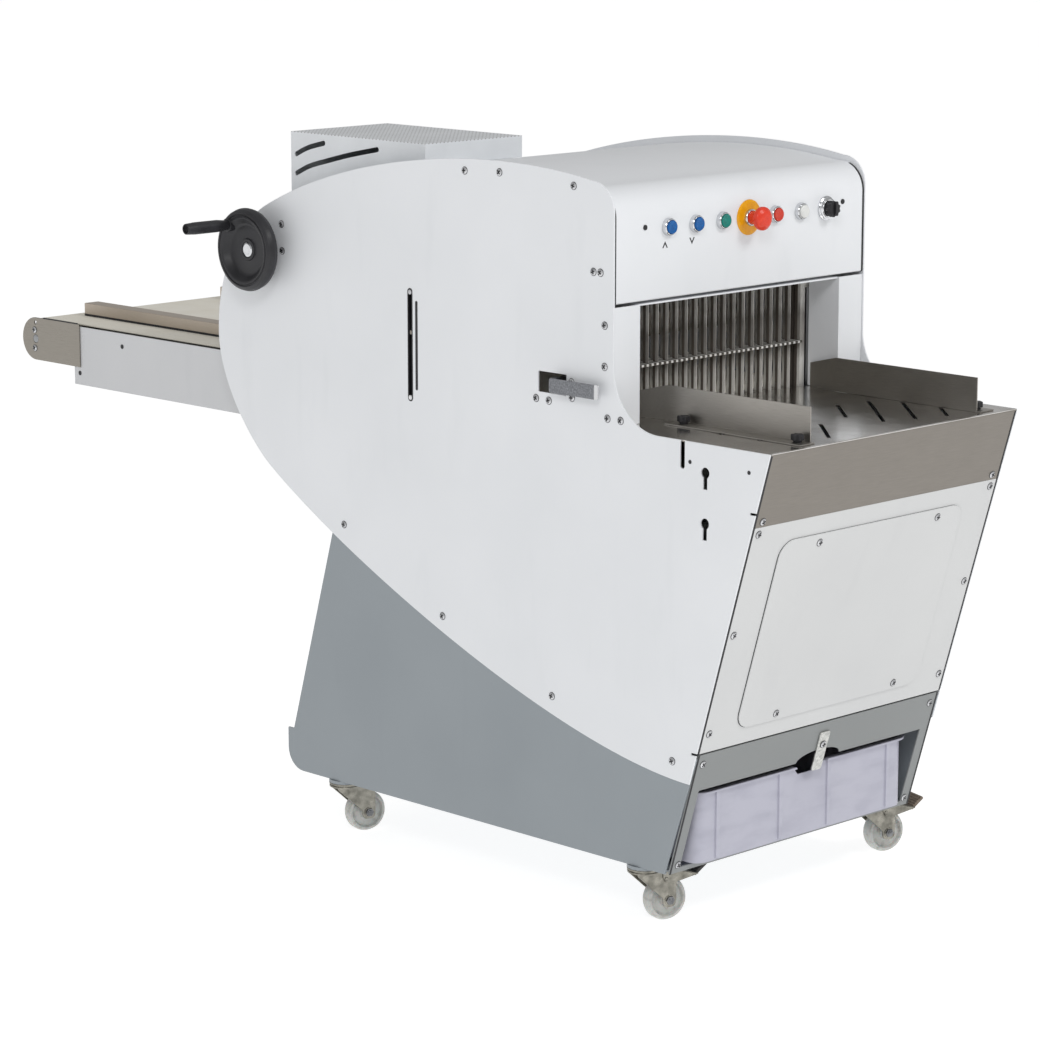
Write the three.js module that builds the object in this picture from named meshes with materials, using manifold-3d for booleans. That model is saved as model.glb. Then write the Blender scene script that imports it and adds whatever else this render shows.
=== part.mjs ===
// Floor-standing bread slicer: a feed belt carries the loaf through two sliding frames of blades and onto
// a steel tray, and a cranked handwheel sets the height of the hold-down above the belt.
// Millimetres. X points right as seen from the front, Y runs from the tray to the feed belt, Z is up.
// Y = 0 lies above the front wheels and Z = 0 is the floor. The finished group is moved so that its
// origin is under the middle of its bounding box.
import * as THREE from "three";
import { mergeVertices } from "three/addons/utils/BufferGeometryUtils.js";
import Module from "manifold-3d";

// General sizes
const machineWidth = 630;
const clearance = 0.3;
const overrun = 6;
const panelSheet = 3;
const coverSheet = 3;
const frontGap = 2.5;
const steelSheet = 3;
const frontLeanDegrees = 16.4;
const weldDistance = 0.0001;
const pinSides = 12;
const roundSides = 16;
const fineSides = 20;
const curveSteps = 10;
const cornerSteps = 4;

// White side panels
const lipY = -282;
const lipZ = 837;
const footZ = 268;
const faceY = 61;
const faceTopZ = 1190;
const browRadius = 50;
const mouthCornerRadius = 100;
const shoulderY = 930;
const shoulderZ = 1136;
const backY = 1066;
const backZ = 896;
const heelY = 929;
const heelZ = 665;
const crownShares = [[0.302, -0.404], [0.727, -0.048]];
const shoulderShares = [[0.544, 0.15], [1, 0.54]];
const backShares = [[0, 0.407], [0.62, 0.84]];
const bellyShares = [[0.183, 0.338], [0.699, 0.975]];
const reliefLength = 12;
const reliefHeight = 4;
const upperReliefZ = 737;

// Openings in the side panels
const gaugeSlotY = 549;
const gaugeSlotWidth = 9;
const gaugeSlotBottomZ = 827;
const gaugeSlotTopZ = 1021;
const scaleSlotGap = 16;
const scaleSlotWidth = 4;
const scaleSlotShortfall = 20;
const leverSlotFrontY = 169;
const leverSlotLength = 66;
const leverSlotBottomZ = 879;
const leverSlotHeight = 35;
const hangSlotY = -94;
const hangSlotWidth = 10;
const hangSlotDepth = 46;
const keyholeY = -144;
const keyholeUpperZ = 790;
const keyholeLowerZ = 707;
const keyholeRadius = 9;
const keyholeTailWidth = 9;
const keyholeTailLength = 27;

// Grey base: side panels, floor and rear wall
const baseBottomZ = 103;
const baseOverlap = 45;
const baseRearY = 874;
const bumperY = 890;
const bumperTopZ = 180;
const bumperRadius = 40;
const rearInset = 5;
const rearWallTopZ = 548;
const floorFrontY = -52;
const runnerInset = 61;
const runnerWidth = 24;
const runnerHeight = 9.7;
const runnerRearY = 300;

// Control hood, roof, belly and top box
const hoodInset = 12;
const hoodFaceInset = 2;
const hoodSillZ = 1040;
const hoodReturn = 62;
const hoodRearY = 500;
const roofEndZ = 1004;
const bellyInset = 4;
const boxInset = 39;
const boxWidth = 233;
const boxFrontY = 550;
const boxRearY = 902;
const boxRise = 132;
const boxSheet = 2;
const ventWidth = 9;
const ventInset = 9;
const upperVentShares = [[0.96, 0.7], [0.87, 0.8], [0.75, 0.88]];
const lowerVentShares = [[0.96, 0.44], [0.86, 0.555], [0.73, 0.645], [0.55, 0.76], [0.35, 0.865]];

// Controls on the hood's face
const controlZ = 1158;
const controlPitch = 66;
const controlMiddleX = 13;
const bezelRadius = 15;
const bezelHeight = 9;
const plungerHoleRadius = 11.5;
const plungerRadius = 11.2;
const plungerProud = 3;
const plungerTail = 26;
const mushroomRadius = 20;
const mushroomHeight = 16;
const mushroomProud = 32;
const mushroomCrown = 6;
const selectorProud = 17;
const selectorWingWidth = 6;
const selectorWingLength = 28;
const selectorWingHeight = 14;

// Mouth: cheeks beside the blades
const mouthInset = 65;
const mouthRearY = 132;
const mouthSheet = 3;
const sillGap = 5;
const lintelSetback = 5;

// Outfeed tray with its apron and crumb slots
const apronBottomZ = 713;
const trayNeckInset = 4;
const trayCombInset = 3;
const trayRearY = 178;
const trayCombFrontY = 128;
const crumbSlotWidth = 7;
const crumbSlotDegrees = 47;
const crumbSlotMiddleY = -142;
const crumbSlotPlaces = [[84.5, 54], [126.5, 14.5], [170.5, -21], [201.5, -71.5]];
const crumbSlotLengths = [130, 215, 172, 86];

// Bread guides on the tray
const guideSheet = 2;
const guideHeight = 59;
const leftGuideInset = 125;
const rightGuideInset = 82;
const guideFrontY = -258;
const guideTurnY = 54;
const guideRearY = 122;
const guideTurnOut = 12;
const guideTurnDrop = 17;
const guideFootWidth = 36;
const guideFootFrontY = -266;
const guideFootRearY = 30;
const knobInset = 17;
const frontKnobY = -244;
const rearKnobY = 4;
const footSlotLength = 24;
const footSlotWidth = 8;
const knobRadius = 11;
const knobLobe = 2.2;
const knobLobes = 6;
const knobHeight = 13;
const knobLift = 3;
const knobCollarRadius = 7;
const knobStudRadius = 3;
const knobStudLength = 18;

// Front panel, access cover, lower frame, latch
const frontPanelBottomZ = 321;
const frontWindowMargin = 30;
const accessInset = 83;
const accessBottomZ = 351;
const accessTopZ = 680;
const accessRadius = 30;
const accessSheet = 2.5;
const lowerFrameTopZ = 318;
const frameOpeningInset = 30;
const frameOpeningBottomZ = 112;
const frameOpeningTopZ = 251;
const archX = 12;
const archHalfWidth = 56;
const archHeight = 17;
const latchPivotZ = 278;
const latchWidth = 25;
const latchAbove = 24;
const latchBelow = 50;
const latchSheet = 3;
const latchPinRadius = 4;

// Crumb crate
const crateInset = 49;
const crateFrontY = -90;
const crateRearY = 296;
const crateHeight = 124;
const crateWall = 3;
const crateRim = 9;
const crateRimHeight = 4;
const crateRibWidth = 9;
const crateRibDepth = 3.5;
const crateRibInnerX = 62;
const crateRibInset = 47;
const crateCorner = 22;
const crateNotchHalfWidth = 46;
const crateNotchTaper = 0.62;
const crateNotchRoom = 4;

// Blades and their two frames
const bladePitch = 12;
const bladeDepth = 13;
const bladeThickness = 0.8;
const bladePlaneGap = 4;
const bladesFrontY = 139;
const bladeToothPitch = 40;
const bladeToothDepth = 2.5;
const bladeToothFootMargin = 150;
const bladeToothHeadMargin = 112;
const bladeFrameTopZ = 1130;
const bladeFrameBottomZ = 700;
const bladeBarHeight = 22;
const bladePostWidth = 12;
const bladePostInset = 14;
const slideRodRadius = 8;
const slideRodInset = 43;
const shoeHeight = 30;
const shoeWall = 10;
const frontShoeUpperZ = 1085;
const frontShoeLowerZ = 760;
const rearShoeUpperZ = 1010;
const rearShoeLowerZ = 685;
const conRodSpread = 0.2;
const conRodThickness = 8;
const conRodWidth = 18;
const conRodLength = 110;
const wristPinRadius = 4;
const wristPinDrop = 16;
const earThickness = 4;
const earWidth = 20;

// Cutter frame: beams, slide rods and shaft hangers
const upperBeamZ = 1185;
const upperBeamHeight = 15;
const beamDepth = 30;
const lowerBeamZ = 640;
const lowerBeamHeight = 12;
const lowerBeamFrontY = 94;
const lowerBeamRearY = 216;
const windowWidth = 44;
const windowFrontY = 118;
const windowRearY = 192;
const hangerSpread = 0.35;
const hangerThickness = 20;
const hangerWidth = 60;
const shaftZ = 480;
const shaftRadius = 12;
const shaftTail = 18;
const couplingGap = 18;
const eccentricRadius = 34;
const eccentricThrow = 20;
const eccentricWidth = 16;
const motorRadius = 62;
const motorLength = 132;
const motorInset = 15;
const motorFins = 3;
const motorFinDepth = 5;
const motorFootWidth = 80;
const motorFootDepth = 70;

// Feed conveyor
const conveyorInset = 60;
const conveyorBelow = 77;
const conveyorAbove = 37;
const conveyorFrontY = 196;
const conveyorRearY = 1580;
const deckDrop = 8;
const deckMargin = 60;
const rollerZ = 809;
const rollerRadius = 36;
const beltThickness = 3;
const beltInset = 19;
const driveRollerY = 227;
const tailRollerY = 1699;
const rollerInset = 16;
const rollerShaftRadius = 8;
const crossBarHeight = 20;
const crossBarLift = 8;
const frontCrossBarY = 420;
const rearCrossBarY = 940;
const endPlateFrontY = 1559;
const endPlateRadius = 42;
const endHoleRadius = 4;
const endHoleRise = 32;
const leftRailInset = 129;
const rightRailInset = 67;
const railWidth = 34;
const railHeight = 25;
const railSheet = 2;
const railRearY = 1668;
const railFrontY = 690;
const railArmWidth = 30;
const railArmThickness = 5;

// Hold-down, its comb and its lifting screw
const pressInset = 33;
const pressFrontY = 250;
const pressRearY = 640;
const pressBottomZ = 935;
const pressHeight = 70;
const pressSheet = 4;
const nutRadius = 20;
const nutHeight = 96;
const screwY = 445;
const screwRadius = 10;
const screwBottomZ = 1016;
const screwTopZ = 1215;
const screwFlangeRadius = 28;
const screwFlangeHeight = 6;
const gaugePinRadius = 3.5;
const combZ = 915;
const combThickness = 4;
const combFrontY = 131;
const combSlotMargin = 2;
const combSlotWidth = 2.6;
const combArmRearY = 300;
const combArmTopZ = 958;
const combArmLift = 6;

// Handwheel with its revolving grip
const handwheelY = 930;
const handwheelZ = 1060;
const handwheelRadius = 75;
const handwheelStandOff = 30;
const handwheelRim = 26;
const handwheelDish = 15;
const handwheelHubRadius = 19;
const handwheelCapRadius = 13;
const handwheelCapHeight = 3;
const handwheelShaftRadius = 8;
const handwheelShaftTail = 30;
const gripOrbit = 59;
const gripDegrees = 45;
const gripLength = 94;
const gripRadius = 11;
const gripPinRadius = 4;

// Side lever
const leverLift = 5;
const leverHeight = 24;
const leverSheet = 3;
const leverPivotY = 187;
const leverPivotDepth = 16;
const leverStandOff = 15;
const leverTipY = 79;
const leverEyeRadius = 9;
const leverArmWidth = 10;
const leverPinRadius = 4;
const leverBracketWidth = 28;
const leverBracketDrop = 34;

// Casters
const casterInset = 29;
const frontCasterY = 11;
const rearCasterY = 762;
const casterRadius = 30;
const casterPadHeight = 6;
const casterHeadHeight = 8;
const casterTrail = 38;
const casterTurnDegrees = -16.6;
const wheelRadius = 37.5;
const wheelWidth = 25;
const wheelHubWidth = 30;
const wheelHubRadius = 13;
const wheelShoulder = 4;
const axleRadius = 5;
const axleNutRadius = 8;
const axleNutHeight = 5;
const nutSides = 6;
const forkSheet = 3;
const forkInnerHalfWidth = 16;
const forkBossRadius = 13;
const pedalPivotX = 30;
const pedalPivotZ = 76;
const pedalSheet = 2;
const pedalReach = 92;
const pedalPadLength = 30;
const pedalPadThickness = 6;
const pedalSkirt = 20;
const pedalTipDrop = 10;
const pedalPadDegrees = 38;
const pedalRear = 24;
const pedalPinRadius = 3;

// Values worked out from the sizes above
const panelOuterX = machineWidth / 2;
const panelInnerX = panelOuterX - panelSheet;
const insideX = panelInnerX - clearance;
const baseOuterX = panelInnerX - clearance;
const baseInnerX = baseOuterX - panelSheet;
const insideBaseX = baseInnerX - clearance;
const mouthHalfWidth = panelOuterX - mouthInset;
const bladePostInnerX = mouthHalfWidth - bladePostInset;
const bladeCount = 2 * Math.floor((bladePostInnerX - bladePitch / 2) / bladePitch);
const bladeToothStartZ = bladeFrameBottomZ + bladeToothFootMargin;
const bladeToothCount = Math.floor((bladeFrameTopZ - bladeToothHeadMargin - bladeToothStartZ) / bladeToothPitch);
const slideRodX = panelOuterX - slideRodInset;
const trayNeckHalfWidth = mouthHalfWidth - trayNeckInset;
const trayCombHalfWidth = bladePostInnerX - trayCombInset;
const pressHalfWidth = trayCombHalfWidth - pressInset;
const leftGuideX = leftGuideInset - panelOuterX;
const rightGuideX = panelOuterX - rightGuideInset;
const accessHalfWidth = panelOuterX - accessInset;
const frameOpeningHalfWidth = panelOuterX - frameOpeningInset;
const crateHalfWidth = panelOuterX - crateInset;
const crateRibOuterX = crateHalfWidth - crateRibInset;
const runnerX = crateHalfWidth - runnerInset;
const casterX = panelOuterX - casterInset;
const boxLeftX = boxInset - panelOuterX;
const boxRightX = boxLeftX + boxWidth;
const boxTopZ = shoulderZ + boxRise;
const motorRightX = panelOuterX - motorInset;
const motorLeftX = motorRightX - motorLength;
const shaftRightX = motorLeftX - couplingGap;
const conRodX = conRodSpread * panelOuterX;
const hangerX = hangerSpread * panelOuterX;
const shaftLeftX = -hangerX - shaftTail;
const conveyorHalfWidth = panelOuterX - conveyorInset;
const conveyorBottomZ = rollerZ - conveyorBelow;
const conveyorTopZ = rollerZ + conveyorAbove;
const beltHalfWidth = conveyorHalfWidth - beltInset;
const rollerHalfWidth = conveyorHalfWidth - rollerInset;
const leftRailX = leftRailInset - conveyorHalfWidth;
const rightRailX = conveyorHalfWidth - rightRailInset;
const leanRun = Math.tan(THREE.MathUtils.degToRad(frontLeanDegrees));
const leanAngle = THREE.MathUtils.degToRad(frontLeanDegrees);
const floorTopZ = baseBottomZ + coverSheet;
const crateBottomZ = floorTopZ + runnerHeight + clearance;
const crateTopZ = crateBottomZ + crateHeight;
const hoodFaceY = faceY + hoodFaceInset;
const trayBottomZ = lipZ - steelSheet;
const beltRadius = rollerRadius + beltThickness;
const leverZ = leverSlotBottomZ + leverLift;
const beltTopZ = rollerZ + beltRadius;
const bladesMiddleY = bladesFrontY + bladeDepth + bladePlaneGap / 2;
const bladesRearY = bladesFrontY + 2 * bladeDepth + bladePlaneGap;
const casterPadBottomZ = baseBottomZ - casterPadHeight;
const casterHeadTopZ = casterPadBottomZ - clearance;

const wasm = await Module();
wasm.setup();

// Height of the leaning front plane's Y at a given Z, and the same for the base's rear edge
function frontPlaneY(z) {
  return lipY + (lipZ - z) * leanRun;
}

function rearPlaneY(z) {
  return baseRearY - (z - bumperTopZ) * leanRun;
}

// Closed three.js geometry to a solid
function solid(geometry) {
  const bare = geometry.clone();
  bare.deleteAttribute("normal");
  bare.deleteAttribute("uv");
  const welded = mergeVertices(bare, weldDistance);
  const triVerts = new Uint32Array(welded.index.array);
  const vertProperties = welded.attributes.position.array;
  return new wasm.Manifold(new wasm.Mesh({ numProp: 3, vertProperties, triVerts }));
}

function block(xa, xb, ya, yb, za, zb) {
  const shape = new THREE.BoxGeometry(Math.abs(xb - xa), Math.abs(yb - ya), Math.abs(zb - za));
  return solid(shape.translate((xa + xb) / 2, (ya + yb) / 2, (za + zb) / 2));
}

// Shapes drawn in (Y, Z), (X, Z) and (X, Y), drawn out along the remaining axis
function extruded(shape, length) {
  return new THREE.ExtrudeGeometry(shape, { depth: length, bevelEnabled: false, curveSegments: cornerSteps });
}

function alongX(shape, xa, xb) {
  const turn = new THREE.Matrix4().set(0, 0, 1, 0, 1, 0, 0, 0, 0, 1, 0, 0, 0, 0, 0, 1);
  const geometry = extruded(shape, Math.abs(xb - xa)).applyMatrix4(turn);
  return solid(geometry.translate(Math.min(xa, xb), 0, 0));
}

function alongY(shape, ya, yb) {
  const geometry = extruded(shape, Math.abs(yb - ya)).rotateX(Math.PI / 2);
  return solid(geometry.translate(0, Math.max(ya, yb), 0));
}

function alongZ(shape, za, zb) {
  return solid(extruded(shape, Math.abs(zb - za)).translate(0, 0, Math.min(za, zb)));
}

// Round bars and turned pieces; a profile is a list of [radius, distance along the axis]
function turned(profile, sides) {
  const points = profile.map(([radius, along]) => new THREE.Vector2(radius, along));
  const made = solid(new THREE.LatheGeometry(points, sides));
  return made.volume() > 0 ? made : solid(new THREE.LatheGeometry(points.reverse(), sides));
}

function turnedGeometry(profile, sides, axis) {
  const geometry = geometryOf(turned(profile, sides));
  if (axis === "x") geometry.rotateZ(-Math.PI / 2);
  if (axis === "z") geometry.rotateX(Math.PI / 2);
  return geometry;
}

function turnedAt(axis, profile, x, y, z, sides) {
  return solid(turnedGeometry(profile, sides, axis).translate(x, y, z));
}

function bar(axis, radius, from, to, x, y, z, sides = roundSides) {
  const profile = [[0, from], [radius, from], [radius, to], [0, to]];
  return turnedAt(axis, profile, x, y, z, sides);
}

function join(pieces) {
  return pieces.reduce((whole, piece) => whole.add(piece));
}

function cut(body, cutters) {
  return cutters.reduce((left, cutter) => left.subtract(cutter), body);
}

// A solid back to a three.js geometry, and a named mesh of it
function geometryOf(made) {
  const mesh = made.getMesh();
  const geometry = new THREE.BufferGeometry();
  geometry.setAttribute("position", new THREE.BufferAttribute(new Float32Array(mesh.vertProperties), 3));
  geometry.setIndex(new THREE.BufferAttribute(new Uint32Array(mesh.triVerts), 1));
  return geometry;
}

function finish(color, roughness, metalness) {
  return new THREE.MeshStandardMaterial({ color, roughness, metalness, flatShading: true });
}

function part(name, made, material) {
  const mesh = new THREE.Mesh(geometryOf(made), material);
  mesh.name = name;
  return mesh;
}

const whitePaint = () => finish(0xe4e6e8, 0.5, 0);
const greyPaint = () => finish(0x8b9298, 0.5, 0);
const stainless = () => finish(0x9a948a, 0.35, 1);
const zinc = () => finish(0xb9b7ad, 0.4, 1);
const machinedSteel = () => finish(0x8f9194, 0.35, 1);
const blackPlastic = () => finish(0x26262a, 0.55, 0);
const whiteNylon = () => finish(0xdfe2e0, 0.45, 0);
const cratePlastic = () => finish(0xd3d3e0, 0.4, 0);
const beltCanvas = () => finish(0xe6dfcb, 0.8, 0);
const motorPaint = () => finish(0x4c555e, 0.5, 0.2);
const coloured = (color) => finish(color, 0.35, 0);

// Flat outlines
function vector([x, y]) {
  return new THREE.Vector2(x, y);
}

function outline(points) {
  return new THREE.Shape(points.map(vector));
}

function rectangle(xa, xb, ya, yb) {
  return outline([[xa, ya], [xb, ya], [xb, yb], [xa, yb]]);
}

function arcPoints(x, y, radius, from, to, steps = curveSteps) {
  const turn = (to - from) / steps;
  const angles = Array.from({ length: steps + 1 }, (_, i) => from + i * turn);
  return angles.map((angle) => new THREE.Vector2(x + radius * Math.cos(angle), y + radius * Math.sin(angle)));
}

function roundedRectangle(xa, xb, ya, yb, radius) {
  const quarter = Math.PI / 2;
  const corners = [
    [xb - radius, ya + radius, -quarter],
    [xb - radius, yb - radius, 0],
    [xa + radius, yb - radius, quarter],
    [xa + radius, ya + radius, 2 * quarter],
  ];
  return new THREE.Shape(corners.flatMap(([x, y, start]) =>
    arcPoints(x, y, radius, start, start + quarter, cornerSteps)));
}

function disc(x, y, radius) {
  return new THREE.Shape(arcPoints(x, y, radius, 0, 2 * Math.PI, roundSides).slice(1));
}

// A polyline moved sideways by a distance, to the left of its direction, with mitred corners
function offsetLine(points, distance) {
  return points.map((point, i) => {
    const before = points[Math.max(i - 1, 0)];
    const after = points[Math.min(i + 1, points.length - 1)];
    const arriving = i > 0 ? point.clone().sub(before).normalize() : after.clone().sub(point).normalize();
    const leaving = i < points.length - 1 ? after.clone().sub(point).normalize() : arriving;
    const middle = arriving.clone().add(leaving).normalize();
    const stretch = distance / Math.max(middle.dot(arriving), 0.3);
    return new THREE.Vector2(point.x - middle.y * stretch, point.y + middle.x * stretch);
  });
}

function strip(points, thickness) {
  return new THREE.Shape([...points, ...offsetLine(points, thickness).reverse()]);
}

// A straight slot with square ends between two points, drawn as a shape
function slotShape(from, to, width) {
  const line = [from, to];
  return new THREE.Shape([...offsetLine(line, width / 2), ...offsetLine(line, -width / 2).reverse()]);
}

// Curves of the side panel's outline
const browEnd = new THREE.Vector2(faceY + browRadius, faceTopZ + browRadius);
const shoulder = new THREE.Vector2(shoulderY, shoulderZ);
const back = new THREE.Vector2(backY, backZ);
const heel = new THREE.Vector2(heelY, heelZ);
const foot = new THREE.Vector2(frontPlaneY(footZ), footZ);

function curveBetween(start, end, shares) {
  const span = end.clone().sub(start);
  const handles = shares.map(([y, z]) => new THREE.Vector2(start.x + y * span.x, start.y + z * span.y));
  return new THREE.CubicBezierCurve(start, handles[0], handles[1], end);
}

const crownCurve = curveBetween(browEnd, shoulder, crownShares);
const shoulderCurve = curveBetween(shoulder, back, shoulderShares);
const backCurve = curveBetween(back, heel, backShares);
const bellyCurve = curveBetween(heel, foot, bellyShares);

function panelShape() {
  const corner = arcPoints(faceY - mouthCornerRadius, lipZ + mouthCornerRadius, mouthCornerRadius, -Math.PI / 2, 0);
  const brow = arcPoints(faceY + browRadius, faceTopZ, browRadius, Math.PI, Math.PI / 2);
  const curves = [crownCurve, shoulderCurve, backCurve, bellyCurve];
  const rest = curves.flatMap((curve) => curve.getPoints(curveSteps).slice(1));
  return new THREE.Shape([new THREE.Vector2(lipY, lipZ), ...corner, ...brow, ...rest]);
}

// Side panels
function keyhole(z) {
  const tail = rectangle(keyholeY - keyholeTailWidth / 2, keyholeY + keyholeTailWidth / 2, z - keyholeTailLength, z);
  return [disc(keyholeY, z, keyholeRadius), tail];
}

function reliefAt(z) {
  const edge = frontPlaneY(z);
  return rectangle(edge - overrun, edge + reliefLength, z - reliefHeight / 2, z + reliefHeight / 2);
}

function panelOpenings() {
  const hang = rectangle(hangSlotY - hangSlotWidth / 2, hangSlotY + hangSlotWidth / 2,
    lipZ - hangSlotDepth, lipZ + overrun);
  const reliefs = [reliefAt(upperReliefZ), reliefAt(frontPanelBottomZ)];
  return [hang, ...reliefs, ...keyhole(keyholeUpperZ), ...keyhole(keyholeLowerZ)];
}

function leftPanelOpenings() {
  const gauge = roundedRectangle(gaugeSlotY - gaugeSlotWidth / 2, gaugeSlotY + gaugeSlotWidth / 2,
    gaugeSlotBottomZ, gaugeSlotTopZ, gaugeSlotWidth / 2);
  const scaleY = gaugeSlotY - scaleSlotGap;
  const scale = rectangle(scaleY - scaleSlotWidth / 2, scaleY + scaleSlotWidth / 2,
    gaugeSlotBottomZ + scaleSlotShortfall, gaugeSlotTopZ - scaleSlotShortfall);
  const lever = rectangle(leverSlotFrontY, leverSlotFrontY + leverSlotLength,
    leverSlotBottomZ, leverSlotBottomZ + leverSlotHeight);
  const shaft = disc(handwheelY, handwheelZ, handwheelShaftRadius + clearance);
  return [gauge, scale, lever, shaft];
}

function sidePanel(side) {
  const body = alongX(panelShape(), side * panelInnerX, side * panelOuterX);
  const openings = side < 0 ? [...panelOpenings(), ...leftPanelOpenings()] : panelOpenings();
  const reach = panelOuterX + overrun;
  return cut(body, openings.map((shape) => alongX(shape, side * (panelInnerX - overrun), side * reach)));
}

const leverPivotX = -(panelInnerX - leverPivotDepth);

// The lever turns on a pin that stands on a small bracket, fixed inside the left panel under the slot
function leverBracket() {
  const shelfTop = leverZ - clearance;
  const front = leverPivotY - leverBracketWidth / 2;
  const rear = leverPivotY + leverBracketWidth / 2;
  const flange = block(-panelInnerX - panelSheet / 2, coverSheet - panelInnerX, front, rear,
    leverSlotBottomZ - leverBracketDrop, shelfTop);
  const notch = block(-panelOuterX, -panelInnerX + clearance, front - overrun, rear + overrun,
    leverSlotBottomZ, leverZ + overrun);
  const shelf = block(-panelInnerX + clearance, leverPivotX + leverEyeRadius, front, rear, shelfTop - coverSheet, shelfTop);
  const pin = bar("z", leverPinRadius, shelfTop - coverSheet / 2, leverZ + leverHeight, leverPivotX, leverPivotY, 0, pinSides);
  return join([flange.subtract(notch), shelf, pin]);
}

function basePanel(side) {
  const belly = bellyCurve.getPoints(curveSteps);
  const raised = belly.map((point) => new THREE.Vector2(point.x, point.y + baseOverlap));
  const limitY = rearPlaneY(heelZ);
  const top = raised.filter((point) => point.x < limitY && point.x > frontPlaneY(footZ + baseOverlap));
  const corner = arcPoints(bumperY - bumperRadius, baseBottomZ + bumperRadius, bumperRadius, -Math.PI / 2, 0);
  const rearTop = raised.filter((point) => point.x >= limitY).at(-1);
  const rearTopZ = (rearTop.y + top[0].y) / 2;
  const frontTopZ = footZ + baseOverlap;
  const points = [
    new THREE.Vector2(frontPlaneY(baseBottomZ), baseBottomZ),
    ...corner,
    new THREE.Vector2(bumperY, bumperTopZ),
    new THREE.Vector2(baseRearY, bumperTopZ),
    new THREE.Vector2(rearPlaneY(rearTopZ), rearTopZ),
    ...top,
    new THREE.Vector2(frontPlaneY(frontTopZ), frontTopZ),
  ];
  return alongX(new THREE.Shape(points), side * baseInnerX, side * baseOuterX);
}

// Floor pan, rear wall, crate runners and caster pads are one welded piece
function baseFloor() {
  const wallFootZ = bumperTopZ - reliefLength;
  const line = [
    new THREE.Vector2(floorFrontY, baseBottomZ),
    new THREE.Vector2(bumperY - bumperRadius, baseBottomZ),
    new THREE.Vector2(rearPlaneY(wallFootZ) - rearInset, wallFootZ),
    new THREE.Vector2(rearPlaneY(rearWallTopZ) - rearInset, rearWallTopZ),
  ];
  const pan = alongX(strip(line, coverSheet), -insideBaseX, insideBaseX);
  const runners = [-1, 1].map((side) => block(side * (runnerX - runnerWidth / 2), side * (runnerX + runnerWidth / 2),
    floorFrontY, runnerRearY, floorTopZ - coverSheet / 2, floorTopZ + runnerHeight));
  const profile = [
    [0, casterPadBottomZ], [casterRadius, casterPadBottomZ], [casterRadius, baseBottomZ - clearance],
    [casterRadius / 2, baseBottomZ - clearance], [casterRadius / 2, floorTopZ - coverSheet / 2],
    [0, floorTopZ - coverSheet / 2],
  ];
  const pads = casterPlaces().map(([x, y]) => turnedAt("z", profile, x, y, 0, roundSides));
  return join([pan, ...runners, ...pads]);
}

function casterPlaces() {
  return [[-casterX, frontCasterY], [casterX, frontCasterY], [-casterX, rearCasterY], [casterX, rearCasterY]];
}

// Hood, roof and belly follow the side panels' outline, set in from it
function hoodLine() {
  const brow = arcPoints(hoodFaceY + browRadius, browEnd.y - hoodInset - browRadius, browRadius, Math.PI, Math.PI / 2);
  const roof = offsetLine(crownCurve.getPoints(2 * curveSteps), -hoodInset);
  const top = roof.filter((point) => point.x > brow.at(-1).x + browRadius / 2 && point.x < hoodRearY);
  const first = [
    new THREE.Vector2(hoodFaceY + hoodReturn, hoodSillZ),
    new THREE.Vector2(hoodFaceY, hoodSillZ),
  ];
  return [...first, ...brow, ...top, roofPointAt(hoodRearY)];
}

// The roof line's point at a given Y
function roofPointAt(y) {
  const roof = offsetLine(crownCurve.getPoints(2 * curveSteps), -hoodInset);
  const next = roof.findIndex((point) => point.x >= y);
  const share = (y - roof[next - 1].x) / (roof[next].x - roof[next - 1].x);
  return roof[next - 1].clone().lerp(roof[next], share);
}

function controlX(index) {
  return controlMiddleX + (index - 3) * controlPitch;
}

function controlHood() {
  const shell = alongX(strip(hoodLine(), -coverSheet), -insideX, insideX);
  const places = Array.from({ length: 7 }, (_, i) => controlX(i));
  const bezels = places.map((x) => bar("y", bezelRadius, -bezelHeight, coverSheet / 2, x, hoodFaceY, controlZ));
  const holes = places.map((x) => bar("y", plungerHoleRadius, -bezelHeight - overrun, coverSheet + overrun,
    x, hoodFaceY, controlZ));
  const flange = bar("z", screwFlangeRadius, screwTopZ + clearance, roofPointAt(screwY).y - coverSheet / 2, 0, screwY, 0);
  return cut(join([shell, ...bezels, flange]), holes);
}

function rearCover() {
  const crown = offsetLine(crownCurve.getPoints(2 * curveSteps), -hoodInset).filter((point) => point.x > hoodRearY);
  const fall = offsetLine(shoulderCurve.getPoints(curveSteps), -hoodInset).slice(1);
  const start = roofPointAt(hoodRearY + clearance);
  const line = [start, ...crown, ...fall.filter((point) => point.y > roofEndZ)];
  return alongX(strip(line, -coverSheet), -insideX, insideX);
}

function bellyCover() {
  const fall = backCurve.getPoints(2 * curveSteps).filter((point) => point.y < conveyorBottomZ - coverSheet);
  const lower = bellyCurve.getPoints(4 * curveSteps).slice(1).filter((point) => point.y > rearWallTopZ + coverSheet);
  return alongX(strip(offsetLine([...fall, ...lower], -bellyInset), -coverSheet), -insideBaseX, insideBaseX);
}

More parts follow.
